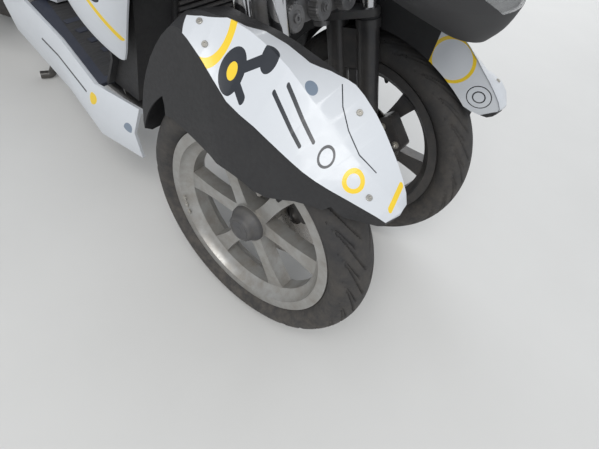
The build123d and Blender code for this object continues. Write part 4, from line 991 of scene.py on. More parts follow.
def from_axle(centre, radius, angle, sideways):
    """Point at a distance from an axle in millimetres, turned up from straight ahead by an angle."""
    return centre + np.array((radius * cos(angle), sideways, radius * sin(angle))) / 1000


def front_fittings(name, side, settings):
    """Hub cap's rings, disc bolts, valve and balance weights of one front wheel."""
    centre = axle["front_" + name]
    out = Y * side
    body = "wheel_front_" + name
    outer = 1 if side > 0 else 0
    cap_face = np.array((centre[0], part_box("hub_cap_" + name)[outer][1], centre[2]))
    disc_face = np.array((centre[0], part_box("disc_front_" + name)[1 - outer][1], centre[2]))
    rim = lathe([(-0.6, 17.5), (0.9, 18.2), (1.2, 19.4), (0.9, 20.6), (-0.6, 21.2), (-0.6, 17.5)],
                cap_face, out, 40)
    button = lathe([(-0.6, 0.01), (-0.6, 7.0), (0.6, 6.4), (0.6, 0.01)], cap_face, out, 24)
    piece("hub_cap_rim_" + name, [rim, button], "hub_dark", body)
    bolts = ring_of(screw, 5, disc_bolt_circle, disc_face, -out, size=settings.disc_bolt * 1000)
    piece("disc_bolts_" + name, bolts, "zinc", body)
    angle = radians(valve_angles[name])
    foot = from_axle(centre, front_valve_radius, angle, side * 4)
    valve = [(0, 0.01), (0, 4.2), (14, 3.6), (22, 3.4), (23, 4.0), (31, 4.0), (32, 3.2), (32, 0.01)]
    aim = unit((-cos(angle), side * 0.9, -sin(angle)))
    piece("valve_" + name, [lathe(valve, foot, aim, 16)], "grip", body)
    weights = [lathe([(0, 0.01), (0, 5.0), (2.6, 4.8), (3.2, 3.6), (3.2, 0.01)],
                     from_axle(centre, weight_radius, radians(turn), side * weight_side), out, 14)
               for turn in weight_angles]
    piece("balance_weights_" + name, weights, "zinc", body)


def build_wheels(settings):
    """Bolts of the discs, rings of the hub caps, valve stems and balance weights."""
    for name, side in SIDES:
        front_fittings(name, side, settings)
    bolts = ring_of(screw, 5, disc_bolt_circle, spot(rear_x, rear_disc_y, rear_z), -Y,
                    size=settings.disc_bolt * 1000)
    piece("rear_disc_bolts", bolts, "zinc", "wheel_rear")
    angle = radians(rear_valve_angle)
    valve = [(0, 0.01), (0, 4.2), (16, 3.6), (26, 3.6), (28, 4.0), (33, 4.0), (34, 3.0), (34, 0.01)]
    foot = from_axle(axle["rear"], rear_valve_radius, angle, -6)
    aim = unit((-cos(angle), -0.8, -sin(angle)))
    piece("valve_rear", [lathe(valve, foot, aim, 16)], "grip", "wheel_rear")


# Forks and mudguards
# Places ahead and above ground of the caliper's bolts and the axle clamp's nut, on the forks' sides
caliper_bolts = ((52, 338), (94, 316))
axle_nut_z = 250
pin_face = 64
# Tie rod's nuts: level with the stanchions' tops, behind the steering axis and off the middle
rod_nut_y = 28
rod_ahead = -58


def fork_fittings(name, side, settings):
    """Wiper rings and top caps on the two legs of a fork, and the nuts on its side."""
    body = "fork_unit_" + name
    wipers, caps = [], []
    for forward in (0, leg_step):
        wipers.append(lathe([(0, 15.4), (0, 21.5), (3.5, 21.5), (5, 20), (5, 18.4), (9, 16.2), (9, 15.4),
                             (0, 15.4)], on_steering(forward, side * leg_y, slider_top + 0.2),
                            steering_axis, 36))
        top = on_steering(forward, side * leg_y, stanchion_top)
        caps.append(lathe([(0, 0.01), (0, 15.5), (3.2, 15.5), (4, 14.6), (4, 0.01)], top, steering_axis, 40))
        caps.append(hex_nut(top + steering_axis * 0.004, steering_axis, 9.5, 6))
    piece("fork_wipers_" + name, wipers, "grip", body)
    piece("fork_caps_" + name, caps, "zinc", body)
    bolts = []
    for x, z in caliper_bolts:
        place, out = skin("fork_" + name, spot(x, side * 60, z), Y * side)
        bolts.append(hex_nut(place, out, settings.nut * 1000 * 0.9))
    place, out = skin("fork_" + name, spot(0, side * 60, axle_nut_z), Y * side)
    bolts.append(hex_nut(place, out, 12.5, 9))
    piece("fork_bolts_" + name, bolts, "zinc", body)


def build_forks(settings):
    """Fittings of both forks, knurled caps on the linkage's pins and the nuts of the tie rod."""
    for name, side in SIDES:
        fork_fittings(name, side, settings)
    caps = []
    for level in arm_levels:
        for y in (-kingpin_y, 0, kingpin_y):
            place = spot(trail, y, 0) + (forward_axis * pin_face + steering_axis * level) / 1000
            caps.append(lathe([(-17, 0.01), (-17, 21.6), (-2, 21.6), (-0.4, 20.4), (0.8, 19.4), (0.8, 13),
                               (-0.2, 12), (-0.2, 0.01)], place, forward_axis, teeth=26, depth=1.1))
            if y:
                caps.append(screw(place, forward_axis, size=7.0))
            else:
                caps.append(hex_nut(place, forward_axis, 7.5, 5))
    piece("linkage_pin_caps", caps, "cast", sharp=25)
    nuts = [lathe([(0, 6.0), (0, 9.6), (5.4, 9.6), (6, 8.8), (6, 6.0), (0, 6.0)],
                  on_steering(rod_ahead, side * rod_nut_y, stanchion_top), Y * side, 6) for _, side in SIDES]
    piece("tie_rod_nuts", nuts, "zinc", "steering_rod")


panel_screws = ((-118, 226), (-92, 240), (120, 166), (196, 222))
flap_screws = ((-222, 180), (-222, 224))


def build_mudguards(settings):
    """Screws of the painted front mudguard panels and of the mudguards' rear flaps."""
    size = settings.screw * 1000
    for name, side in SIDES:
        body = "fork_unit_" + name
        starts = [(x, side * y, 720) for x, y in panel_screws]
        heads = screws_on("mudguard_panel_" + name, starts, -Z, size)
        piece("mudguard_screws_" + name, heads, "zinc", body)
        starts = [(x, side * y, 700) for x, y in flap_screws]
        heads = screws_on("mudguard_" + name, starts, -Z, size)
        piece("mudguard_tail_screws_" + name, heads, "ink", body)


# Nose, lamps and screen
lamp_z = 742.0
lamp_y = 57.0
# Half width of the bezel, its half height in the middle and how much that loses at the ends
bezel_half, bezel_height, bezel_taper = 104, 44, 10


def lamp_face(y):
    """How far forward the lens's inner side stands at a place across, a parabola, in millimetres."""
    return 207 - 56 * (y / 112) ** 2


def build_lamps(settings):
    """Reflector, bulbs and bulb caps of the two headlamps.

    The reflector is a bezel that follows the lens, less two paraboloid bowls: depth * (1 - the square
    of the distance from a lamp's middle over the bowl's radius), with cosine ribs where there is no bowl.
    """
    bowl, depth = settings.bowl * 1000, settings.dip * 1000
    y = np.linspace(-bezel_half, bezel_half, 141)[None, :]
    v = np.linspace(-1, 1, 61)[:, None]
    height = bezel_height - bezel_taper * (np.abs(y) / bezel_half) ** 2
    z = lamp_z + v * height
    away = np.hypot(np.abs(y) - lamp_y, z - lamp_z) / bowl
    dip = np.clip(1 - away ** 2, 0, 1)
    rib = 0.7 * np.cos(y * 0.9) * (dip > 0.05)
    x = lamp_face(y) - 20 - 4 * np.abs(v) ** 3 - depth * dip + rib * (1 - dip)
    place = np.stack([front_axle_x + x / 1000, np.broadcast_to(y / 1000, x.shape), z / 1000 + 0 * x], -1)
    piece("headlamp_reflector", [sheet(place, place - X * 0.0016)], "reflector", sharp=60)
    bulbs, caps = [], []
    for _, side in SIDES:
        centre = spot(lamp_face(lamp_y) - 66, side * lamp_y, lamp_z)
        bulbs.append(lathe([(0, 0.01), (0, 8), (14, 8), (22, 7.2), (30, 5), (33, 2.4), (34, 0.01)],
                           centre, X, 28))
        caps.append(lathe([(34, 0.01), (34, 9.6), (40, 10), (46, 8.6), (50, 4), (50, 0.01)], centre, X, 28))
    piece("headlamp_bulbs", bulbs, "bulb")
    piece("headlamp_caps", caps, "reflector")


# Places across and above ground of the screen's screws; ahead and above of the nose's; of the panel's
screen_screws = ((-118, 962), (-62, 958), (62, 958), (118, 962))
nose_screws = ((-20, 700), (-90, 750))
front_panel_screws = [(x, y) for x in (-250, -150) for y in (-182, 182)]


def build_nose(settings):
    """Screws of the nose, front panel and windscreen, with a rubber washer under each screen screw."""
    size = settings.screw * 1000
    seats = [skin("windscreen", spot(260, y, z), -X) for y, z in screen_screws]
    washers = [lathe([(-0.4, 0.01), (-0.4, 9), (1.4, 9), (2.2, 8), (2.2, 0.01)], place, out, 28)
               for place, out in seats]
    piece("windscreen_washers", washers, "grip")
    heads = [screw(place + out * 0.0022, out, size=size * 1.15) for place, out in seats]
    piece("windscreen_screws", heads, "zinc")
    heads = []
    for side in (-1, 1):
        heads += screws_on("nose_cowl", [(x, side * 330, z) for x, z in nose_screws], -Y * side, size)
    piece("nose_screws", heads, "ink")
    heads = screws_on("front_panel", [(x, y, 1100) for x, y in front_panel_screws], -Z, size)
    piece("front_panel_screws", heads, "ink")


# Handlebar
# Middle of the bar and inner end of each grip's rubber
bar_x, bar_z = -279.1, 953.8
grip_start = 205.0
# Grip's rubber and its ribs: radii, first and last rib, number of ribs
grip_radius, rib_radius = 16.4, 17.3
first_rib, last_rib, rib_count = 18, 138, 25


def grip_line(side):
    """Inner end of a grip's bar and the direction along it."""
    start = spot(bar_x - 24, side * grip_start, bar_z + 42)
    return start, unit(spot(bar_x - 62, side * (grip_start + 126), bar_z + 36) - start)


def switch_pod(name, side):
    """Switch housing at the inner end of a grip, with two buttons that face the rider."""
    start, along = grip_line(side)
    up = unit(Z - along * along[2])
    back = unit(-X + along * along[0])
    aim = unit(back + up * 0.8)
    body = lathe([(-25, 12.2), (-25, 19), (-21, 22.5), (7, 22.5), (12, 19), (12, 12.2), (-25, 12.2)],
                 start, along, 40)
    face = plate(rounded(26, 18, 5), start + aim * 0.0200 - along * 0.006, along, np.cross(aim, along),
                 5.0, 1.2)
    piece("switch_pod_" + name, [body, face], "black_plastic", "steering_head")
    buttons = [lathe([(0, 0.01), (0, r), (2.6, r), (3.6, r - 1), (3.6, 0.01)],
                     start + aim * 0.0248 + along * step, aim, 24)
               for step, r in ((-0.012, 5.0), (0.001, 4.0))]
    piece("switch_buttons_" + name, buttons, "red" if side < 0 else "dial", "steering_head")


def brake_lever(name, side, settings):
    """Brake lever: a tapered round bar along a smooth path ahead of the grip, with its pivot."""
    start, along = grip_line(side)
    reach = settings.reach
    pivot = start + along * 0.002 + X * 0.030
    path = smooth_path([pivot, start + along * 0.030 + X * (reach - 0.006), start + along * 0.080 + X * reach,
                        start + along * 0.146 + X * (reach - 0.008)], 40)
    thick = settings.lever * 1000
    taper = np.interp(np.linspace(0, 1, 40), (0, 0.15, 0.85, 0.94, 1),
                      thick * np.array((1.1, 1.0, 0.85, 1.25, 0.9)))
    arm = [tube(path, thick, 14, taper),
           lathe([(-9, 0.01), (-9, 8.5), (9, 8.5), (9, 0.01)], pivot, Z, 28),
           tube([start + along * 0.002 + X * 0.016, pivot], 8.5, 16)]
    piece("brake_lever_" + name, arm, "cast", "steering_head")
    piece("lever_pin_" + name, [screw(pivot + Z * 0.009, Z, size=4.4)], "zinc", "steering_head")


def grip_fittings(name, side):
    """Bar end, and the grip's ribs as one profile turned round the bar."""
    start, along = grip_line(side)
    piece("bar_end_" + name, [lathe([(0, 0.01), (0, 15), (3, 16.2), (9, 15.4), (12, 12), (13, 6), (13, 0.01)],
                                    start + along * 0.1403, along, 32)], "hub_dark", "steering_head")
    rows = np.linspace(first_rib, last_rib, rib_count)
    profile = [(rows[0], grip_radius)]
    for row in rows[1:-1]:
        profile += [(row - 1.5, grip_radius), (row - 1.0, rib_radius), (row + 1.0, rib_radius),
                    (row + 1.5, grip_radius)]
    profile += [(rows[-1], grip_radius), (rows[-1], 15.0), (rows[0], 15.0), (rows[0], grip_radius)]
    piece("grip_ribs_" + name, [lathe(profile, start, along, 40)], "grip", "steering_head")


def mirror_glass(name, side):
    """Glass of a mirror: a thin plate with round corners, leaning a little towards the rider."""
    out = unit((-1.0, 0.0, -0.1))
    down = unit((0.1, 0.0, -1.0))
    face = spot(bar_x + 16, side * (grip_start + 87), bar_z + 218) + out * 0.0001
    piece("mirror_glass_" + name, [plate(rounded(124, 72, 29, 12), face, Y, down, 1.1, 0.5)], "mirror",
          "steering_head")


# Dials: place across, radius as a share of the main dial's and where the needle points
dials = ((0, 1.0, 2.2), (-66, 0.7, 1.0), (66, 0.7, 0.5))
dial_sweep = 2.2
dial_marks = 12


def build_dials(settings):
    """Three dials let into the handlebar's cover: ring, face, marks on an arc, needle and domed glass."""
    rings, faces, marks, needles, domes = [], [], [], [], []
    for y, share, turn in dials:
        radius = settings.dial * 1000 * share
        place, out = skin("handlebar_cover", spot(bar_x - 26, y, bar_z + 250), -Z)
        rings.append(lathe([(-1, radius - 3), (-1, radius + 2), (3, radius + 2), (5, radius),
                            (5, radius - 2.5), (1, radius - 3), (-1, radius - 3)], place, out, 48))
        faces.append(lathe([(-0.5, 0.01), (-0.5, radius - 2.5), (1.0, radius - 2.5), (1.0, 0.01)],
                           place, out, 48))
        first, second = across(out)
        on_face = place + out * 0.0011
        for angle in np.linspace(-dial_sweep, dial_sweep, dial_marks):
            way = (cos(angle) * first + sin(angle) * second) * radius / 1000
            marks.append(tube([on_face + way * 0.70, on_face + way * 0.84], 0.5, 6))
        way = cos(turn) * first + sin(turn) * second
        axle_top = place + out * 0.0024
        needles.append(tube([axle_top - way * 0.004, axle_top + way * radius * 0.00072], 0.9, 8, (1.1, 0.4)))
        needles.append(lathe([(1.2, 0.01), (1.2, 3.2), (3.4, 2.6), (3.4, 0.01)], place, out, 20))
        domes.append(lathe([(3.2, 0.01), (3.2, radius - 2.8), (4.2, radius - 3.2), (5.2, radius * 0.6),
                            (5.6, 0.01)], place, out, 48))
    piece("dial_rings", rings, "hub_dark", "steering_head")
    piece("dial_faces", faces, "ink", "steering_head")
    piece("dial_marks", marks, "bulb", "steering_head")
    piece("dial_needles", needles, "red", "steering_head")
    piece("dial_glasses", domes, "lens", "steering_head")


def build_controls(settings):
    """Switch pods, brake levers, bar ends, ribbed grips, mirror glasses and three dials."""
    for name, side in SIDES:
        switch_pod(name, side)
        brake_lever(name, side, settings)
        grip_fittings(name, side)
        mirror_glass(name, side)
    build_dials(settings)


# Leg shield and floor
# Radiator: lowest and highest slat, number of slats, their reach to each side and their radius
slat_low, slat_high, slat_count = 352, 520, 15
slat_reach, slat_radius = 84, 3.4
# Shield's rider side: heights of the glove door and the bag hook; the lock's and the screws' places
door_z, hook_z = 800, 690
lock_place = (-150, 850)
shield_screws = ((-150, 420), (150, 420), (-160, 600), (160, 600))


def radiator():
    """Slats as bars that follow the shield between two places, inside a flat frame."""
    slats = []
    for z in np.linspace(slat_low, slat_high, slat_count):
        left = skin("leg_shield", spot(300, slat_reach, z), -X)[0] + X * 0.003
        right = skin("leg_shield", spot(300, -slat_reach, z), -X)[0] + X * 0.003
        slats.append(tube([left, (left + right) / 2, right], slat_radius, 8))
    piece("radiator_slats", slats, "radiator")
    place, out = skin("leg_shield", spot(300, 0, (slat_low + slat_high) / 2), -X)
    edge = frame_plate(rounded(196, 196, 16), 9, place - out * 0.0005, Y, Z, 7)
    piece("radiator_frame", [edge], "black_plastic")


def glove_door():
    """Door with its lip and a knurled knob above its middle."""
    place, out = skin("leg_shield", spot(-600, 0, door_z), X)
    up = unit(Z - out * out[2])
    side = np.cross(up, out)
    door = plate(rounded(214, 132, 20), place - out * 0.0005, side, up, 3.4, 1.4)
    lip = frame_plate(rounded(226, 144, 25), 4, place - out * 0.0005, side, up, 2.0)
    piece("glove_door", [door], "black_plastic")
    piece("glove_door_lip", [lip], "ink")
    knob = lathe([(2, 0.01), (2, 11), (9, 9.5), (11, 8), (11, 0.01)], place + up * 0.046, out, teeth=16,
                 depth=0.8)
    piece("glove_knob", [knob], "hub_dark")


def ignition_lock():
    """Ring with a sunk barrel and the key's slot across it."""
    place, out = skin("leg_shield", spot(-600, *lock_place), X)
    ring = lathe([(-0.5, 0.01), (-0.5, 19), (3, 19), (5, 17), (5, 13), (3.4, 12.4), (3.4, 0.01)],
                 place, out, 40)
    piece("ignition_lock", [ring], "hub_dark")
    barrel = lathe([(3.0, 0.01), (3.0, 9), (4.4, 8.4), (4.4, 0.01)], place, out, 30)
    slot = plate(rounded(2.4, 9, 1), place + out * 0.0042, np.cross(Z, out), Z, 1.0, 0.2)
    piece("ignition_slot", [barrel, slot], "zinc")


def bag_hook():
    """Hook: a round bar that leaves the shield and turns up, on a round foot."""
    place, out = skin("leg_shield", spot(-600, 0, hook_z), X)
    path = smooth_path([place + out * 0.001, place + out * 0.022 - Z * 0.004, place + out * 0.034 + Z * 0.002,
                        place + out * 0.036 + Z * 0.018], 24)
    foot = lathe([(-0.5, 0.01), (-0.5, 12), (3, 11), (3, 0.01)], place, out, 28)
    piece("bag_hook", [tube(path, 3.6, 12), foot], "hub_dark")


def build_shield(settings):
    """Radiator grille in front; glove-box door, its knob, ignition lock and bag hook behind."""
    radiator()
    glove_door()
    ignition_lock()
    bag_hook()
    starts = [(-600, y, z) for y, z in shield_screws]
    piece("shield_screws", screws_on("leg_shield", starts, X, settings.screw * 1000), "ink")


# Foot mats: ends ahead and behind, inner edge, outer edges at the two ends, top of the floorboard,
# rib spacing, height of the sheet and of a rib above it
mat_front, mat_rear = -452, -774
mat_inner = 44.0
mat_outer_front, mat_outer_rear = 184, 112
floor_z = 300.1
rib_spacing = 14.0
mat_height, rib_height = 0.8, 1.4
floor_screws = ((-446, 24), (-590, 24))


def build_floor(settings):
    """Foot mats and floor screws.

    A mat's height is a row of rounded ribs, the square root of a cosine along the floor where that is
    above nothing, led down to the floor over a narrow border.
    """
    v = np.linspace(0, 1, 281)[:, None]
    u = np.linspace(0, 1, 9)[None, :]
    for name, side in SIDES:
        x = mat_front + (mat_rear - mat_front) * v + 0 * u
        outer = np.interp(x, (mat_rear, mat_front), (mat_outer_rear, mat_outer_front))
        y = mat_inner + (outer - mat_inner) * u
        rib = np.maximum(np.cos(2 * pi * (x - mat_front) / rib_spacing), 0) ** 0.5
        border = np.clip(np.minimum(np.minimum(u, 1 - u) * 14, np.minimum(v, 1 - v) * 50), 0, 1)
        z = floor_z + 0.1 + (mat_height + rib_height * rib * border) * (border > 0)
        top = np.stack([front_axle_x + x / 1000, side * y / 1000, z / 1000], -1)
        bottom = top.copy()
        bottom[..., 2] = floor_z / 1000
        piece("foot_mat_" + name, [sheet(top, bottom)], "grip", sharp=50)
    starts = [(x, side * y, 420) for _, side in SIDES for x, y in floor_screws]
    piece("floor_screws", screws_on("floorboard", starts, -Z, settings.screw * 1000), "zinc")


# Seat
# Places ahead of the front axle with the top's height, and with half the width, from nose to tail
seat_top = ((-648, 776), (-700, 780), (-760, 783), (-930, 785), (-1010, 800), (-1060, 836), (-1130, 849),
            (-1400, 855), (-1446, 840), (-1460, 800))
seat_edge = ((-640, 56), (-700, 97), (-840, 143), (-1100, 149), (-1380, 101), (-1462, 82))
seat_floor = 736.4
# Ends of the cover before it swells, and the ends that it may not pass
cover_front, cover_rear = -642, -1458
room_front, room_rear = -636.5, -1463.0
# Blow-up: how many frames the cloth is given
blow_frames = 20
# Seam across the step: place, bow, half length and height of the line that is laid on the cover
seam_x, seam_bow, seam_half, seam_z = -1034.0, 26, 134, 824
stitch_rows = (-0.007, 0.007)


def along_seat(rows, x):
    """Heights or half widths at places along the seat, by straight runs between the listed ones."""
    rows = np.array(rows)[::-1]
    return np.interp(x, rows[:, 0], rows[:, 1])


def in_frame(x, y, z):
    """Points of the frame in metres, from arrays in millimetres ahead of the front axle, left and up."""
    return np.stack(np.broadcast_arrays(front_axle_x + x / 1000, y / 1000, z / 1000), -1)


def seat_form(shrink):
    """The seat before it swells: rings across it, each a rounded box of power four with a tucked foot.

    A box of power four takes the square roots of cosine and sine, with their signs, as its shares of
    half width and half height. Ends are closed by square roots too, and the top is crowned by a parabola.
    """
    x = np.linspace(cover_front - shrink, cover_rear + shrink, 90)[:, None]
    angle = np.linspace(0, 2 * pi, 64, endpoint=False)[None, :]
    half = along_seat(seat_edge, x) - shrink
    top = along_seat(seat_top, x) - shrink
    low = seat_floor + 0.2
    nose = np.clip((cover_front - shrink - x) / 46, 0, 1) ** 0.5
    tail = np.clip((x - cover_rear - shrink) / 26, 0, 1) ** 0.5
    top = low + (top - low) * np.minimum(0.25 + 0.75 * nose, 0.45 + 0.55 * tail)
    c, s = np.cos(angle), np.sin(angle)
    y = half * np.sign(c) * np.abs(c) ** 0.5
    z = (top + low) / 2 + (top - low) / 2 * np.sign(s) * np.abs(s) ** 0.5
    tuck = 1 - 0.07 * np.clip((low + 22 - z) / 22, 0, 1)
    crown = 3.0 * (1 - (y / np.maximum(half, 1)) ** 2) * (s > 0.2)
    return in_frame(x, y * tuck, z + crown)


def points_of(mesh):
    """A mesh's points as rows of x, y and z."""
    flat = np.empty(len(mesh.vertices) * 3)
    mesh.vertices.foreach_get("co", flat)
    return flat.reshape(-1, 3)


def evaluated(made):
    """An object as its modifiers leave it."""
    return made.evaluated_get(bpy.context.evaluated_depsgraph_get())


def laid_on(path, target):
    """The points of a path drawn to the nearest places of an object."""
    mesh = bpy.data.meshes.new("path")
    mesh.from_pydata(np.asarray(path).tolist(), [], [])
    made = bpy.data.objects.new("path", mesh)
    bpy.context.scene.collection.objects.link(made)
    made.modifiers.new("wrap", "SHRINKWRAP").target = target
    points = points_of(evaluated(made).data)
    bpy.data.objects.remove(made)
    bpy.data.meshes.remove(mesh)
    return points


def foamed(made, settings):
    """Points of the cover after the cloth's pressure has blown it up."""
    cloth = made.modifiers.new("foam", "CLOTH")
    cloth.settings.use_pressure = True
    cloth.settings.uniform_pressure_force = settings.pressure
    cloth.settings.effector_weights.gravity = 0
    for number in range(1, blow_frames + 1):
        bpy.context.scene.frame_set(number)
    points = points_of(evaluated(made).data)
    made.modifiers.remove(cloth)
    bpy.context.scene.frame_set(1)
    return points


def blown_up(made, settings):
    """Blows the cover up with pressure, and holds how far each point moves and where it may lie."""
    mesh = made.data
    before = points_of(mesh)
    move = foamed(made, settings) - before
    far = np.linalg.norm(move, axis=1)[:, None]
    after = before + move * np.minimum(1, settings.swell / np.maximum(far, 1e-9))
    x = (after[:, 0] - front_axle_x) * 1000
    room = along_seat(seat_edge, x) / 1000 + 0.001
    ceiling = (along_seat(seat_top, x) + np.where(x < -740, 5, 0)) / 1000
    after[:, 1] = np.clip(after[:, 1], -room, room)
    after[:, 2] = np.clip(after[:, 2], seat_floor / 1000, ceiling)
    after[:, 0] = np.clip(after[:, 0], front_axle_x + room_rear / 1000, front_axle_x + room_front / 1000)
    mesh.vertices.foreach_set("co", after.ravel())
    mesh.update()


def seat_cover(settings):
    """Cover: the seat's form, remeshed to even squares, blown up and subdivided."""
    made = piece("seat_cushion", [closed_rings(seat_form(4.0))], "seat", "seat_unit", replaces=("seat",))
    first = made.data
    remesh = made.modifiers.new("remesh", "REMESH")
    remesh.mode = "VOXEL"
    remesh.voxel_size = settings.voxel
    made.data = bpy.data.meshes.new_from_object(evaluated(made))
    made.modifiers.clear()
    bpy.data.meshes.remove(first)
    blown_up(made, settings)
    made.data.materials.clear()
    made.data.materials.append(finish("seat"))
    made.data.polygons.foreach_set("use_smooth", [True] * len(made.data.polygons))
    soft = made.modifiers.new("subdivide", "SUBSURF")
    soft.levels = soft.render_levels = 1
    return made


def seat_piping(cover, settings):
    """Cord round the cover, a little in from its edge and below its top, laid on its surface."""
    x = np.linspace(-664, -1442, 150)
    rim = [in_frame(x, side * (along_seat(seat_edge, x) - 9), along_seat(seat_top, x) - 13)
           for _, side in SIDES]
    front = np.linspace(rim[1][0], rim[0][0], 16)[1:-1]
    loop = laid_on(np.concatenate([rim[0][::-1], front[::-1], rim[1]]), cover)
    cord = tube(smooth_path(loop[::3], 260) + Z * 0.0004, settings.piping * 1000, 10)
    piece("seat_piping", [cord], "seat", "seat_unit")


def seat_seam(cover, settings):
    """Sewn seam across the seat's step, a bowed line laid on the cover, with a row of stitches each side."""
    y = np.linspace(-seam_half, seam_half, 60)
    seam = laid_on(in_frame(seam_x - seam_bow * (y / seam_half) ** 2, y, seam_z + 0 * y), cover)
    piece("seat_seam", [tube(seam, 1.5, 8)], "seat", "seat_unit")
    sewn = []
    for step in stitch_rows:
        line = laid_on(seam + X * step, cover)
        reach = np.concatenate([[0], np.cumsum(np.linalg.norm(np.diff(line, axis=0), axis=1))])
        for start in np.arange(0, reach[-1] - settings.stitch, settings.stitch):
            at = start + np.array((0.0, 0.25, 0.5)) * settings.stitch
            sewn.append(tube(np.stack([np.interp(at, reach, line[:, n]) for n in range(3)], -1), 0.55, 6))
    piece("seat_stitches", sewn, "thread", "seat_unit")


def build_seat(settings):
    """Seat cover blown up over its foam, piping, a sewn seam at the step and the hinge's tab."""
    cover = seat_cover(settings)
    seat_piping(cover, settings)
    seat_seam(cover, settings)
    tab = plate([(-8.9, -20), (8.9, -20), (8.9, 13.4), (-8.9, 13.4)], spot(-672, 19, 724), X, Z, 38, 0.5)
    piece("seat_hinge", [tab], "dark_metal", "seat_unit")


# Tail
# Heights of plate and reflector on the rear mudguard
plate_z, reflector_z = 396, 520
indicator_root = (-1596, 58, 610)
indicator_tip = (-1604, 92, 612)
cover_screws = ((-760, 560), (-1180, 600), (-1400, 690))
lock_x, lock_z = -1345, 700
carrier_screws = [(x, y) for x in (-1574, -1502) for y in (-42, 42)]


def number_plate(size):
    """Bare plate on a smaller backing, with a screw near each corner."""
    place, out = skin("rear_mudguard", spot(-1800, 0, plate_z), X)
    up = unit(Z - out * out[2])
    side = np.cross(up, out)
    board = plate(rounded(122, 104, 7), place + out * 0.003, side, up, 1.4, 0.4)
    backing = plate(rounded(96, 60, 7), place - out * 0.0005, side, up, 4)
    piece("number_plate", [board, backing], "board_white")
    corners = [place + out * 0.0044 + side * a + up * b for a in (-0.048, 0.048) for b in (-0.04, 0.04)]
    heads = [screw(corner, out, size=size * 0.9) for corner in corners]
    piece("number_plate_screws", heads, "zinc")


def indicators():
    """Rear indicators: a stalk, a round housing and a domed lens at each side."""
    lenses, stalks = [], []
    for _, side in SIDES:
        root, tip = (spot(x, side * y, z) for x, y, z in (indicator_root, indicator_tip))
        stalks.append(tube([root, (root + tip) / 2, tip], 6, 16))
        stalks.append(lathe([(-18, 0.01), (-18, 12), (-12, 19), (2, 22), (2, 0.01)], tip, -X))
        lenses.append(lathe([(2.2, 0.01), (2.2, 21.4), (8, 20.4), (14, 15), (17, 7), (17.6, 0.01)], tip, -X))
    piece("indicator_stalks", stalks, "ink")
    piece("indicator_lenses", lenses, "orange")


def build_tail(settings):
    """Plate, reflector, indicators, lock and screws of the tail and side covers."""
    size = settings.screw * 1000
    number_plate(size)
    place, out = skin("rear_mudguard", spot(-1800, 0, reflector_z), X)
    lens = lathe([(-0.5, 0.01), (-0.5, 19), (5, 19), (6.4, 17.6), (6.8, 0.01)], place, out, 40)
    piece("rear_reflector", [lens], "red")
    indicators()
    heads = []
    for _, side in SIDES:
        heads += screws_on("side_covers", [(x, side * 330, z) for x, z in cover_screws], -Y * side, size)
    piece("side_cover_screws", heads, "ink")
    place, out = skin("side_covers", spot(lock_x, 330, lock_z), -Y)
    lock = lathe([(-0.5, 0.01), (-0.5, 12), (2.4, 12), (3.4, 11), (3.4, 8), (2.2, 7.6), (2.2, 0.01)],
                 place, out)
    piece("seat_lock", [lock], "zinc")
    heads = screws_on("grab_rail", [(x, y, 1000) for x, y in carrier_screws], -Z, size * 1.2)
    piece("carrier_screws", heads, "ink")


# Engine
# Belt case at the left: middle of its front circle, way back and down to the rear one, their radii
case_front = (-1012, 148.0, 300)
case_back, case_drop = 298.0, -36.5
case_front_radius, case_rear_radius, case_rim = 79, 75, 8
# Bolts round each end of the case, as angles from straight back
front_bolt_angles = (1.7, 2.4, 3.14, 3.9, 4.6)
rear_bolt_angles = (-1.5, -0.8, 0, 0.8, 1.5)
fan_vanes, vane_twist = 14, 0.32
# Crankcase's cover and oil cap at the right, drain bolt below
crankcase = (-905, -84, 306)
oil_cap = (-838, -84, 246)
drain_bolt = (-930, -20, 212)


def belt_case(centre, settings):
    """Raised rim of the belt case round a flat face, and the bolts along it."""
    rear, front = (case_back, case_drop, case_rear_radius), (0, 0, case_front_radius)
    outer = belt(rear, front)
    inner = belt((*rear[:2], rear[2] - case_rim), (*front[:2], front[2] - case_rim))
    case = [frame_plate(outer, 7, centre, -X, Z, 3.0), plate(inner, centre - Y * 0.001, -X, Z, 2.2, 1.0)]
    piece("belt_case_rim", case, "cast")
    bolts = []
    for (back, up, radius), angles in ((front, front_bolt_angles), (rear, rear_bolt_angles)):
        for angle in angles:
            flat = Z * (up + (radius - 2) * sin(angle)) - X * (back + (radius - 2) * cos(angle))
            bolts.append(hex_nut(centre + Y * 0.003 + flat / 1000, Y, settings.case_bolt * 1000, 3.2))
    piece("belt_case_bolts", bolts, "zinc")


def fan_cover(centre):
    """Round cover with a ring of vanes, each a bar from near the middle to a place turned further on."""
    fan = [lathe([(1.0, 0.01), (1.0, 60), (7, 58), (9, 54), (9, 47), (5, 45), (5, 15), (9, 13), (10, 9),
                  (10, 0.01)], centre, Y, 56)]
    first, second = across(Y)
    face = centre + Y * 0.0068
    for angle in np.arange(fan_vanes) * 2 * pi / fan_vanes:
        way = cos(angle) * first + sin(angle) * second
        turned = cos(angle + vane_twist) * first + sin(angle + vane_twist) * second
        vane = [face + way * 0.014, face + (way + turned) / 2 * 0.031, face + turned * 0.047]
        fan.append(tube(vane, 1.9, 8))
    piece("fan_cover", fan, "black_plastic")


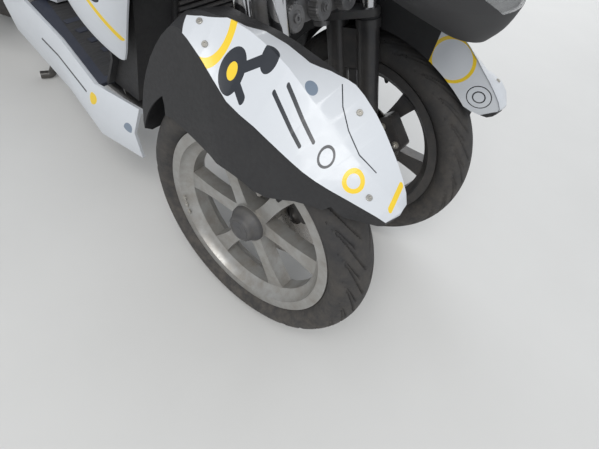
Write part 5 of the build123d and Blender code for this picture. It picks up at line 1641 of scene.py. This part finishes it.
def build_engine(settings):
    """Belt-case rim, bolts and vaned fan cover at the left; cover, caps and axle nut at the right."""
    centre = spot(*case_front)
    belt_case(centre, settings)
    fan_cover(centre)
    right = spot(*crankcase)
    cover = lathe([(-0.5, 0.01), (-0.5, 64), (8, 62), (11, 58), (11, 30), (13, 27), (13, 0.01)],
                  right, -Y, 56)
    piece("crankcase_cover", [cover], "cast")
    bolts = ring_of(screw, 7, 57, right - Y * 0.0105, -Y, start=0.3, size=4.2)
    piece("crankcase_bolts", bolts, "zinc")
    cap = lathe([(-0.5, 0.01), (-0.5, 15), (9, 14), (10, 12), (10, 0.01)], spot(*oil_cap), -Y,
                teeth=12, depth=1.4)
    piece("oil_cap", [cap], "ink")
    piece("drain_bolt", [hex_nut(spot(*drain_bolt), -Z, 9, 6)], "zinc")
    piece("rear_axle_nut", [hex_nut(spot(rear_x, -86, rear_z), -Y, 16, 13)], "zinc")


# Silencer
# Front end of the can, its rise to the rear, and places along it of bands, shield, rivets and outlet
can_front = (-1020, -183, 262)
can_rise = 0.17
band_steps, band_width = (14, 448), 12
shield_start, shield_end = 64, 396
rivet_steps, rivet_heights = (92, 368), (-26, 26)
outlet_step, outlet_height = 496, 8


def build_silencer(settings):
    """Heat shield bent round the can, clamp bands, rivets and the rim of the outlet.

    The shield is the outer part of the can's outline carried along it, swollen by half a sine wave.
    """
    along = unit((-1.0, 0.0, can_rise))
    up = unit(Z - along * along[2])
    origin = spot(*can_front)

    def ring(width, height, corner, step):
        """The can's outline grown to a size, at a place along it."""
        outline = rounded(width, height, corner, 10) / 1000
        return origin + along * step / 1000 + outline[:, :1] * Y + outline[:, 1:] * up

    bands = [surface([ring(88.4, 110.4, 39, step), ring(88.4, 110.4, 39, step + band_width),
                      ring(85.8, 107.8, 38, step + band_width), ring(85.8, 107.8, 38, step)], True, True)
             for step in band_steps]
    piece("silencer_bands", bands, "steel")
    outline = rounded(95, 117, 42, 14)
    outline = outline[outline[:, 0] < -14]
    outline = outline[np.argsort(-np.arctan2(outline[:, 1], -outline[:, 0]))]
    steps = np.linspace(shield_start, shield_end, 40)[:, None, None] / 1000
    bulge = 1 + 0.03 * np.sin(np.linspace(0, pi, 40))[:, None, None]
    flat = outline[None] / 1000 * bulge
    front, back = (origin + along * steps + section[..., :1] * Y + section[..., 1:] * up
                   for section in (flat, flat * 0.965))
    piece("silencer_shield", [sheet(front, back)], "hub_dark", sharp=50)
    rivets = []
    for step in rivet_steps:
        for height in rivet_heights:
            start = origin + (along * step + up * height) / 1000 - Y * 0.2
            place, out = skin("silencer", start, Y)
            rivets.append(screw(place + out * 0.0052, out, size=settings.rivet * 1000))
    piece("silencer_rivets", rivets, "zinc")
    mouth = origin + (along * outlet_step + up * outlet_height) / 1000
    rim = lathe([(-2, 15.1), (-2, 19), (4, 18.6), (6, 17.4), (6, 15.8), (-2, 15.1)], mouth, along, 40)
    piece("silencer_rim", [rim], "steel")


# Springs
# Shocks: feet behind and above the rear axle, heads, and places of both off the middle
shock_back = -26
shock_feet = {"left": 111.2, "right": 89.2}
shock_head_x, shock_head_z = -1262, 604
shock_y = 110
shock_nut_y = 120.5
side_spring = ((-700, 128, 181.9), (-752, 128, 178.5))


def build_springs(settings):
    """Springs: a wire along a helix round each shock with a seat at both ends, and one at the side stand."""
    for name, side in SIDES:
        foot_x, foot_z = rear_x + shock_back, rear_z + shock_feet[name]
        low = spot(foot_x, side * shock_y, foot_z)
        high = spot(shock_head_x, side * shock_y, shock_head_z)
        along = unit(high - low)
        span = np.linalg.norm(high - low)
        spring = coil(low + along * 0.034, low + along * (span - 0.070), 26.5, settings.spring_wire * 1000,
                      settings.spring_turns)
        piece("shock_spring_" + name, [spring], "spring")
        seats = [lathe([(0, 24.0), (0, 30.5), (4, 30.5), (5, 29), (5, 24.0), (0, 24.0)],
                       low + along * step, along, 40) for step in (0.0255, span - 0.069)]
        piece("shock_seats_" + name, seats, "zinc")
        nut = hex_nut(spot(foot_x, side * shock_nut_y, foot_z), Y * side, 9, 6)
        piece("shock_nuts_" + name, [nut], "zinc")
    start, end = (spot(*place) for place in side_spring)
    piece("side_stand_spring", [coil(start, end, 9.6, 1.3, 9)], "spring", "side_stand_unit")


# Stage
# Camera worked out from the photo: place ahead of the front axle in metres, its axes and its focus
camera_place = (0.31895, -0.62599, 0.89841)
camera_axes = ((0.75597, 0.63001, 0.17774), (-0.58363, 0.52574, 0.61885), (0.29644, -0.57156, 0.76514))
camera_focus = 445.94
photo_width = 599
sensor_width = 36
floor_reach = 14.0
sky_colour = (0.90, 0.93, 0.97)
# Strength of the pale world as it lights the pieces, and as it is seen
sky_light, sky_seen = 0.62, 0.92
lamp_aim = Vector((0.1, 0, 0.4))
# Each row: name, place, size and tint of a lamp
lamps = (
    ("key", (1.6, -2.2, 3.4), 2.4, (1.0, 0.985, 0.96)),
    ("fill", (-2.6, 1.8, 2.6), 3.0, (0.93, 0.96, 1.0)),
    ("edge", (0.2, 3.2, 1.8), 2.0, (1.0, 1.0, 1.0)),
)


def lay_floor(settings):
    """A wide square with a plain, faintly blotched colour."""
    mesh = bpy.data.meshes.new("floor")
    corners = [(x * floor_reach, y * floor_reach, 0) for x, y in ((-1, -1), (1, -1), (1, 1), (-1, 1))]
    mesh.from_pydata(corners, [], [(0, 1, 2, 3)])
    floor = bpy.data.objects.new("floor", mesh)
    bpy.context.scene.collection.objects.link(floor)
    board = Board("floor")
    dark, light = (tuple(n * share for n in settings.floor) for share in (0.96, 1.04))
    board.shader.inputs["Roughness"].default_value = 0.8
    mesh.materials.append(board.paint(board.mix(board.noise(3.0), dark, light)))


def light_world():
    """A pale world that is brighter where the camera sees it, directly or through glass."""
    world = bpy.data.worlds.new("studio")
    bpy.context.scene.world = world
    world.use_nodes = True
    tree = world.node_tree
    background = tree.nodes["Background"]
    background.inputs["Color"].default_value = (*sky_colour, 1)
    rays = tree.nodes.new("ShaderNodeLightPath")
    seen = tree.nodes.new("ShaderNodeMath")
    seen.operation = "MAXIMUM"
    tree.links.new(rays.outputs["Is Camera Ray"], seen.inputs[0])
    tree.links.new(rays.outputs["Is Transmission Ray"], seen.inputs[1])
    strength = tree.nodes.new("ShaderNodeMapRange")
    strength.inputs["To Min"].default_value = sky_light
    strength.inputs["To Max"].default_value = sky_seen
    tree.links.new(seen.outputs[0], strength.inputs["Value"])
    tree.links.new(strength.outputs[0], background.inputs["Strength"])


def hang_lamps(settings):
    """Three soft square lamps that look at the vehicle's middle."""
    for name, place, size, tint in lamps:
        lamp = bpy.data.lights.new(name, "AREA")
        lamp.size = size
        lamp.energy = getattr(settings, name)
        lamp.color = tint
        made = bpy.data.objects.new(name, lamp)
        made.location = place
        made.rotation_euler = (lamp_aim - Vector(place)).to_track_quat("-Z", "Y").to_euler()
        bpy.context.scene.collection.objects.link(made)


def place_camera():
    """The camera at the photo's angle."""
    lens = bpy.data.cameras.new("camera")
    lens.sensor_width = sensor_width
    lens.lens = sensor_width * camera_focus / photo_width
    camera = bpy.data.objects.new("camera", lens)
    bpy.context.scene.collection.objects.link(camera)
    turn = Matrix(camera_axes).transposed().to_4x4()
    turn.translation = Vector(camera_place) + Vector((front_axle_x, 0, 0))
    camera.matrix_world = turn
    bpy.context.scene.camera = camera


def build_stage(settings):
    """Floor, soft studio lamps, pale world and the camera."""
    bpy.context.scene.view_settings.view_transform = "Standard"
    lay_floor(settings)
    light_world()
    hang_lamps(settings)
    place_camera()


# Operators and panel
class SCOOTER_OT_paint(bpy.types.Operator):
    """Gives every carried-over node its finish or livery"""

    bl_idname = "scooter.paint"
    bl_label = "Dress the frame"

    def execute(self, context):
        dress_nodes()
        return {"FINISHED"}


class SCOOTER_OT_tyres(bpy.types.Operator):
    """Makes the three tyres with their tread"""

    bl_idname = "scooter.tyres"
    bl_label = "Build tyres"

    def execute(self, context):
        build_tyres(context.scene.scooter_tyres)
        return {"FINISHED"}


class SCOOTER_OT_wheels(bpy.types.Operator):
    """Makes disc bolts, cap rings, valves and weights"""

    bl_idname = "scooter.wheels"
    bl_label = "Build wheel fittings"

    def execute(self, context):
        build_wheels(context.scene.scooter_hardware)
        return {"FINISHED"}


class SCOOTER_OT_forks(bpy.types.Operator):
    """Makes fork wipers, caps, bolts, pin caps and rod nuts"""

    bl_idname = "scooter.forks"
    bl_label = "Build fork fittings"

    def execute(self, context):
        build_forks(context.scene.scooter_hardware)
        return {"FINISHED"}


class SCOOTER_OT_mudguards(bpy.types.Operator):
    """Makes the screws of the front mudguards"""

    bl_idname = "scooter.mudguards"
    bl_label = "Build mudguard screws"

    def execute(self, context):
        build_mudguards(context.scene.scooter_hardware)
        return {"FINISHED"}


class SCOOTER_OT_lamps(bpy.types.Operator):
    """Makes the reflectors and bulbs behind the lens"""

    bl_idname = "scooter.lamps"
    bl_label = "Build headlamps"

    def execute(self, context):
        build_lamps(context.scene.scooter_lamps)
        return {"FINISHED"}


class SCOOTER_OT_nose(bpy.types.Operator):
    """Makes the screws of nose, panel and screen"""

    bl_idname = "scooter.nose"
    bl_label = "Build nose and screen screws"

    def execute(self, context):
        build_nose(context.scene.scooter_hardware)
        return {"FINISHED"}


class SCOOTER_OT_controls(bpy.types.Operator):
    """Makes pods, levers, bar ends, mirror glasses and dials"""

    bl_idname = "scooter.controls"
    bl_label = "Build controls"

    def execute(self, context):
        build_controls(context.scene.scooter_controls)
        return {"FINISHED"}


class SCOOTER_OT_shield(bpy.types.Operator):
    """Makes grille, glove door, lock and hook"""

    bl_idname = "scooter.shield"
    bl_label = "Build leg-shield fittings"

    def execute(self, context):
        build_shield(context.scene.scooter_hardware)
        return {"FINISHED"}


class SCOOTER_OT_floor(bpy.types.Operator):
    """Makes the ribbed mats and their screws"""

    bl_idname = "scooter.floor"
    bl_label = "Build foot mats"

    def execute(self, context):
        build_floor(context.scene.scooter_hardware)
        return {"FINISHED"}


class SCOOTER_OT_seat(bpy.types.Operator):
    """Makes the padded seat with piping, seam and stitches"""

    bl_idname = "scooter.seat"
    bl_label = "Build seat"

    def execute(self, context):
        build_seat(context.scene.scooter_seat)
        return {"FINISHED"}


class SCOOTER_OT_tail(bpy.types.Operator):
    """Makes plate, reflector, indicators, lock and screws"""

    bl_idname = "scooter.tail"
    bl_label = "Build tail fittings"

    def execute(self, context):
        build_tail(context.scene.scooter_hardware)
        return {"FINISHED"}


class SCOOTER_OT_engine(bpy.types.Operator):
    """Makes belt-case rim, fan cover, crankcase cover and caps"""

    bl_idname = "scooter.engine"
    bl_label = "Build engine covers"

    def execute(self, context):
        build_engine(context.scene.scooter_hardware)
        return {"FINISHED"}


class SCOOTER_OT_silencer(bpy.types.Operator):
    """Makes heat shield, bands, rivets and rim"""

    bl_idname = "scooter.silencer"
    bl_label = "Build silencer fittings"

    def execute(self, context):
        build_silencer(context.scene.scooter_hardware)
        return {"FINISHED"}


class SCOOTER_OT_springs(bpy.types.Operator):
    """Makes the springs of shocks and side stand"""

    bl_idname = "scooter.springs"
    bl_label = "Build springs"

    def execute(self, context):
        build_springs(context.scene.scooter_hardware)
        return {"FINISHED"}


class SCOOTER_OT_stage(bpy.types.Operator):
    """Makes floor, lamps, world and camera"""

    bl_idname = "scooter.stage"
    bl_label = "Build stage"

    def execute(self, context):
        build_stage(context.scene.scooter_stage)
        return {"FINISHED"}


operators = (SCOOTER_OT_paint, SCOOTER_OT_tyres, SCOOTER_OT_wheels, SCOOTER_OT_forks, SCOOTER_OT_mudguards,
             SCOOTER_OT_lamps, SCOOTER_OT_nose, SCOOTER_OT_controls, SCOOTER_OT_shield,
             SCOOTER_OT_floor, SCOOTER_OT_seat, SCOOTER_OT_tail, SCOOTER_OT_engine,
             SCOOTER_OT_silencer, SCOOTER_OT_springs, SCOOTER_OT_stage)
groups = (("scooter_paint", ScooterPaint), ("scooter_tyres", ScooterTyres),
          ("scooter_hardware", ScooterHardware), ("scooter_lamps", ScooterLamps),
          ("scooter_seat", ScooterSeat), ("scooter_controls", ScooterControls),
          ("scooter_stage", ScooterStage))


class SCOOTER_PT_panel(bpy.types.Panel):
    """Sizes, colours and steps of the scooter"""

    bl_label = "Leaning scooter"
    bl_idname = "SCOOTER_PT_panel"
    bl_space_type = "VIEW_3D"
    bl_region_type = "UI"
    bl_category = "Scooter"

    def draw(self, context):
        """Lists the settings of each group, then the steps in order."""
        for key, group in groups:
            box = self.layout.box()
            box.label(text=group.__doc__)
            for setting in group.__annotations__:
                box.prop(getattr(context.scene, key), setting)
        for step in operators:
            self.layout.operator(step.bl_idname)


def register():
    """Registers the settings, the operators and the panel."""
    for key, group in groups:
        bpy.utils.register_class(group)
        setattr(bpy.types.Scene, key, PointerProperty(type=group))
    for step in (*operators, SCOOTER_PT_panel):
        bpy.utils.register_class(step)


def unregister():
    """Takes the panel, the operators and the settings away again."""
    for step in (SCOOTER_PT_panel, *reversed(operators)):
        bpy.utils.unregister_class(step)
    for key, group in reversed(groups):
        delattr(bpy.types.Scene, key)
        bpy.utils.unregister_class(group)


def main():
    """Registers the classes and runs the steps in order."""
    register()
    bpy.ops.scooter.paint()
    bpy.ops.scooter.tyres()
    bpy.ops.scooter.wheels()
    bpy.ops.scooter.forks()
    bpy.ops.scooter.mudguards()
    bpy.ops.scooter.lamps()
    bpy.ops.scooter.nose()
    bpy.ops.scooter.controls()
    bpy.ops.scooter.shield()
    bpy.ops.scooter.floor()
    bpy.ops.scooter.seat()
    bpy.ops.scooter.tail()
    bpy.ops.scooter.engine()
    bpy.ops.scooter.silencer()
    bpy.ops.scooter.springs()
    bpy.ops.scooter.stage()


if __name__ == "__main__":
    main()
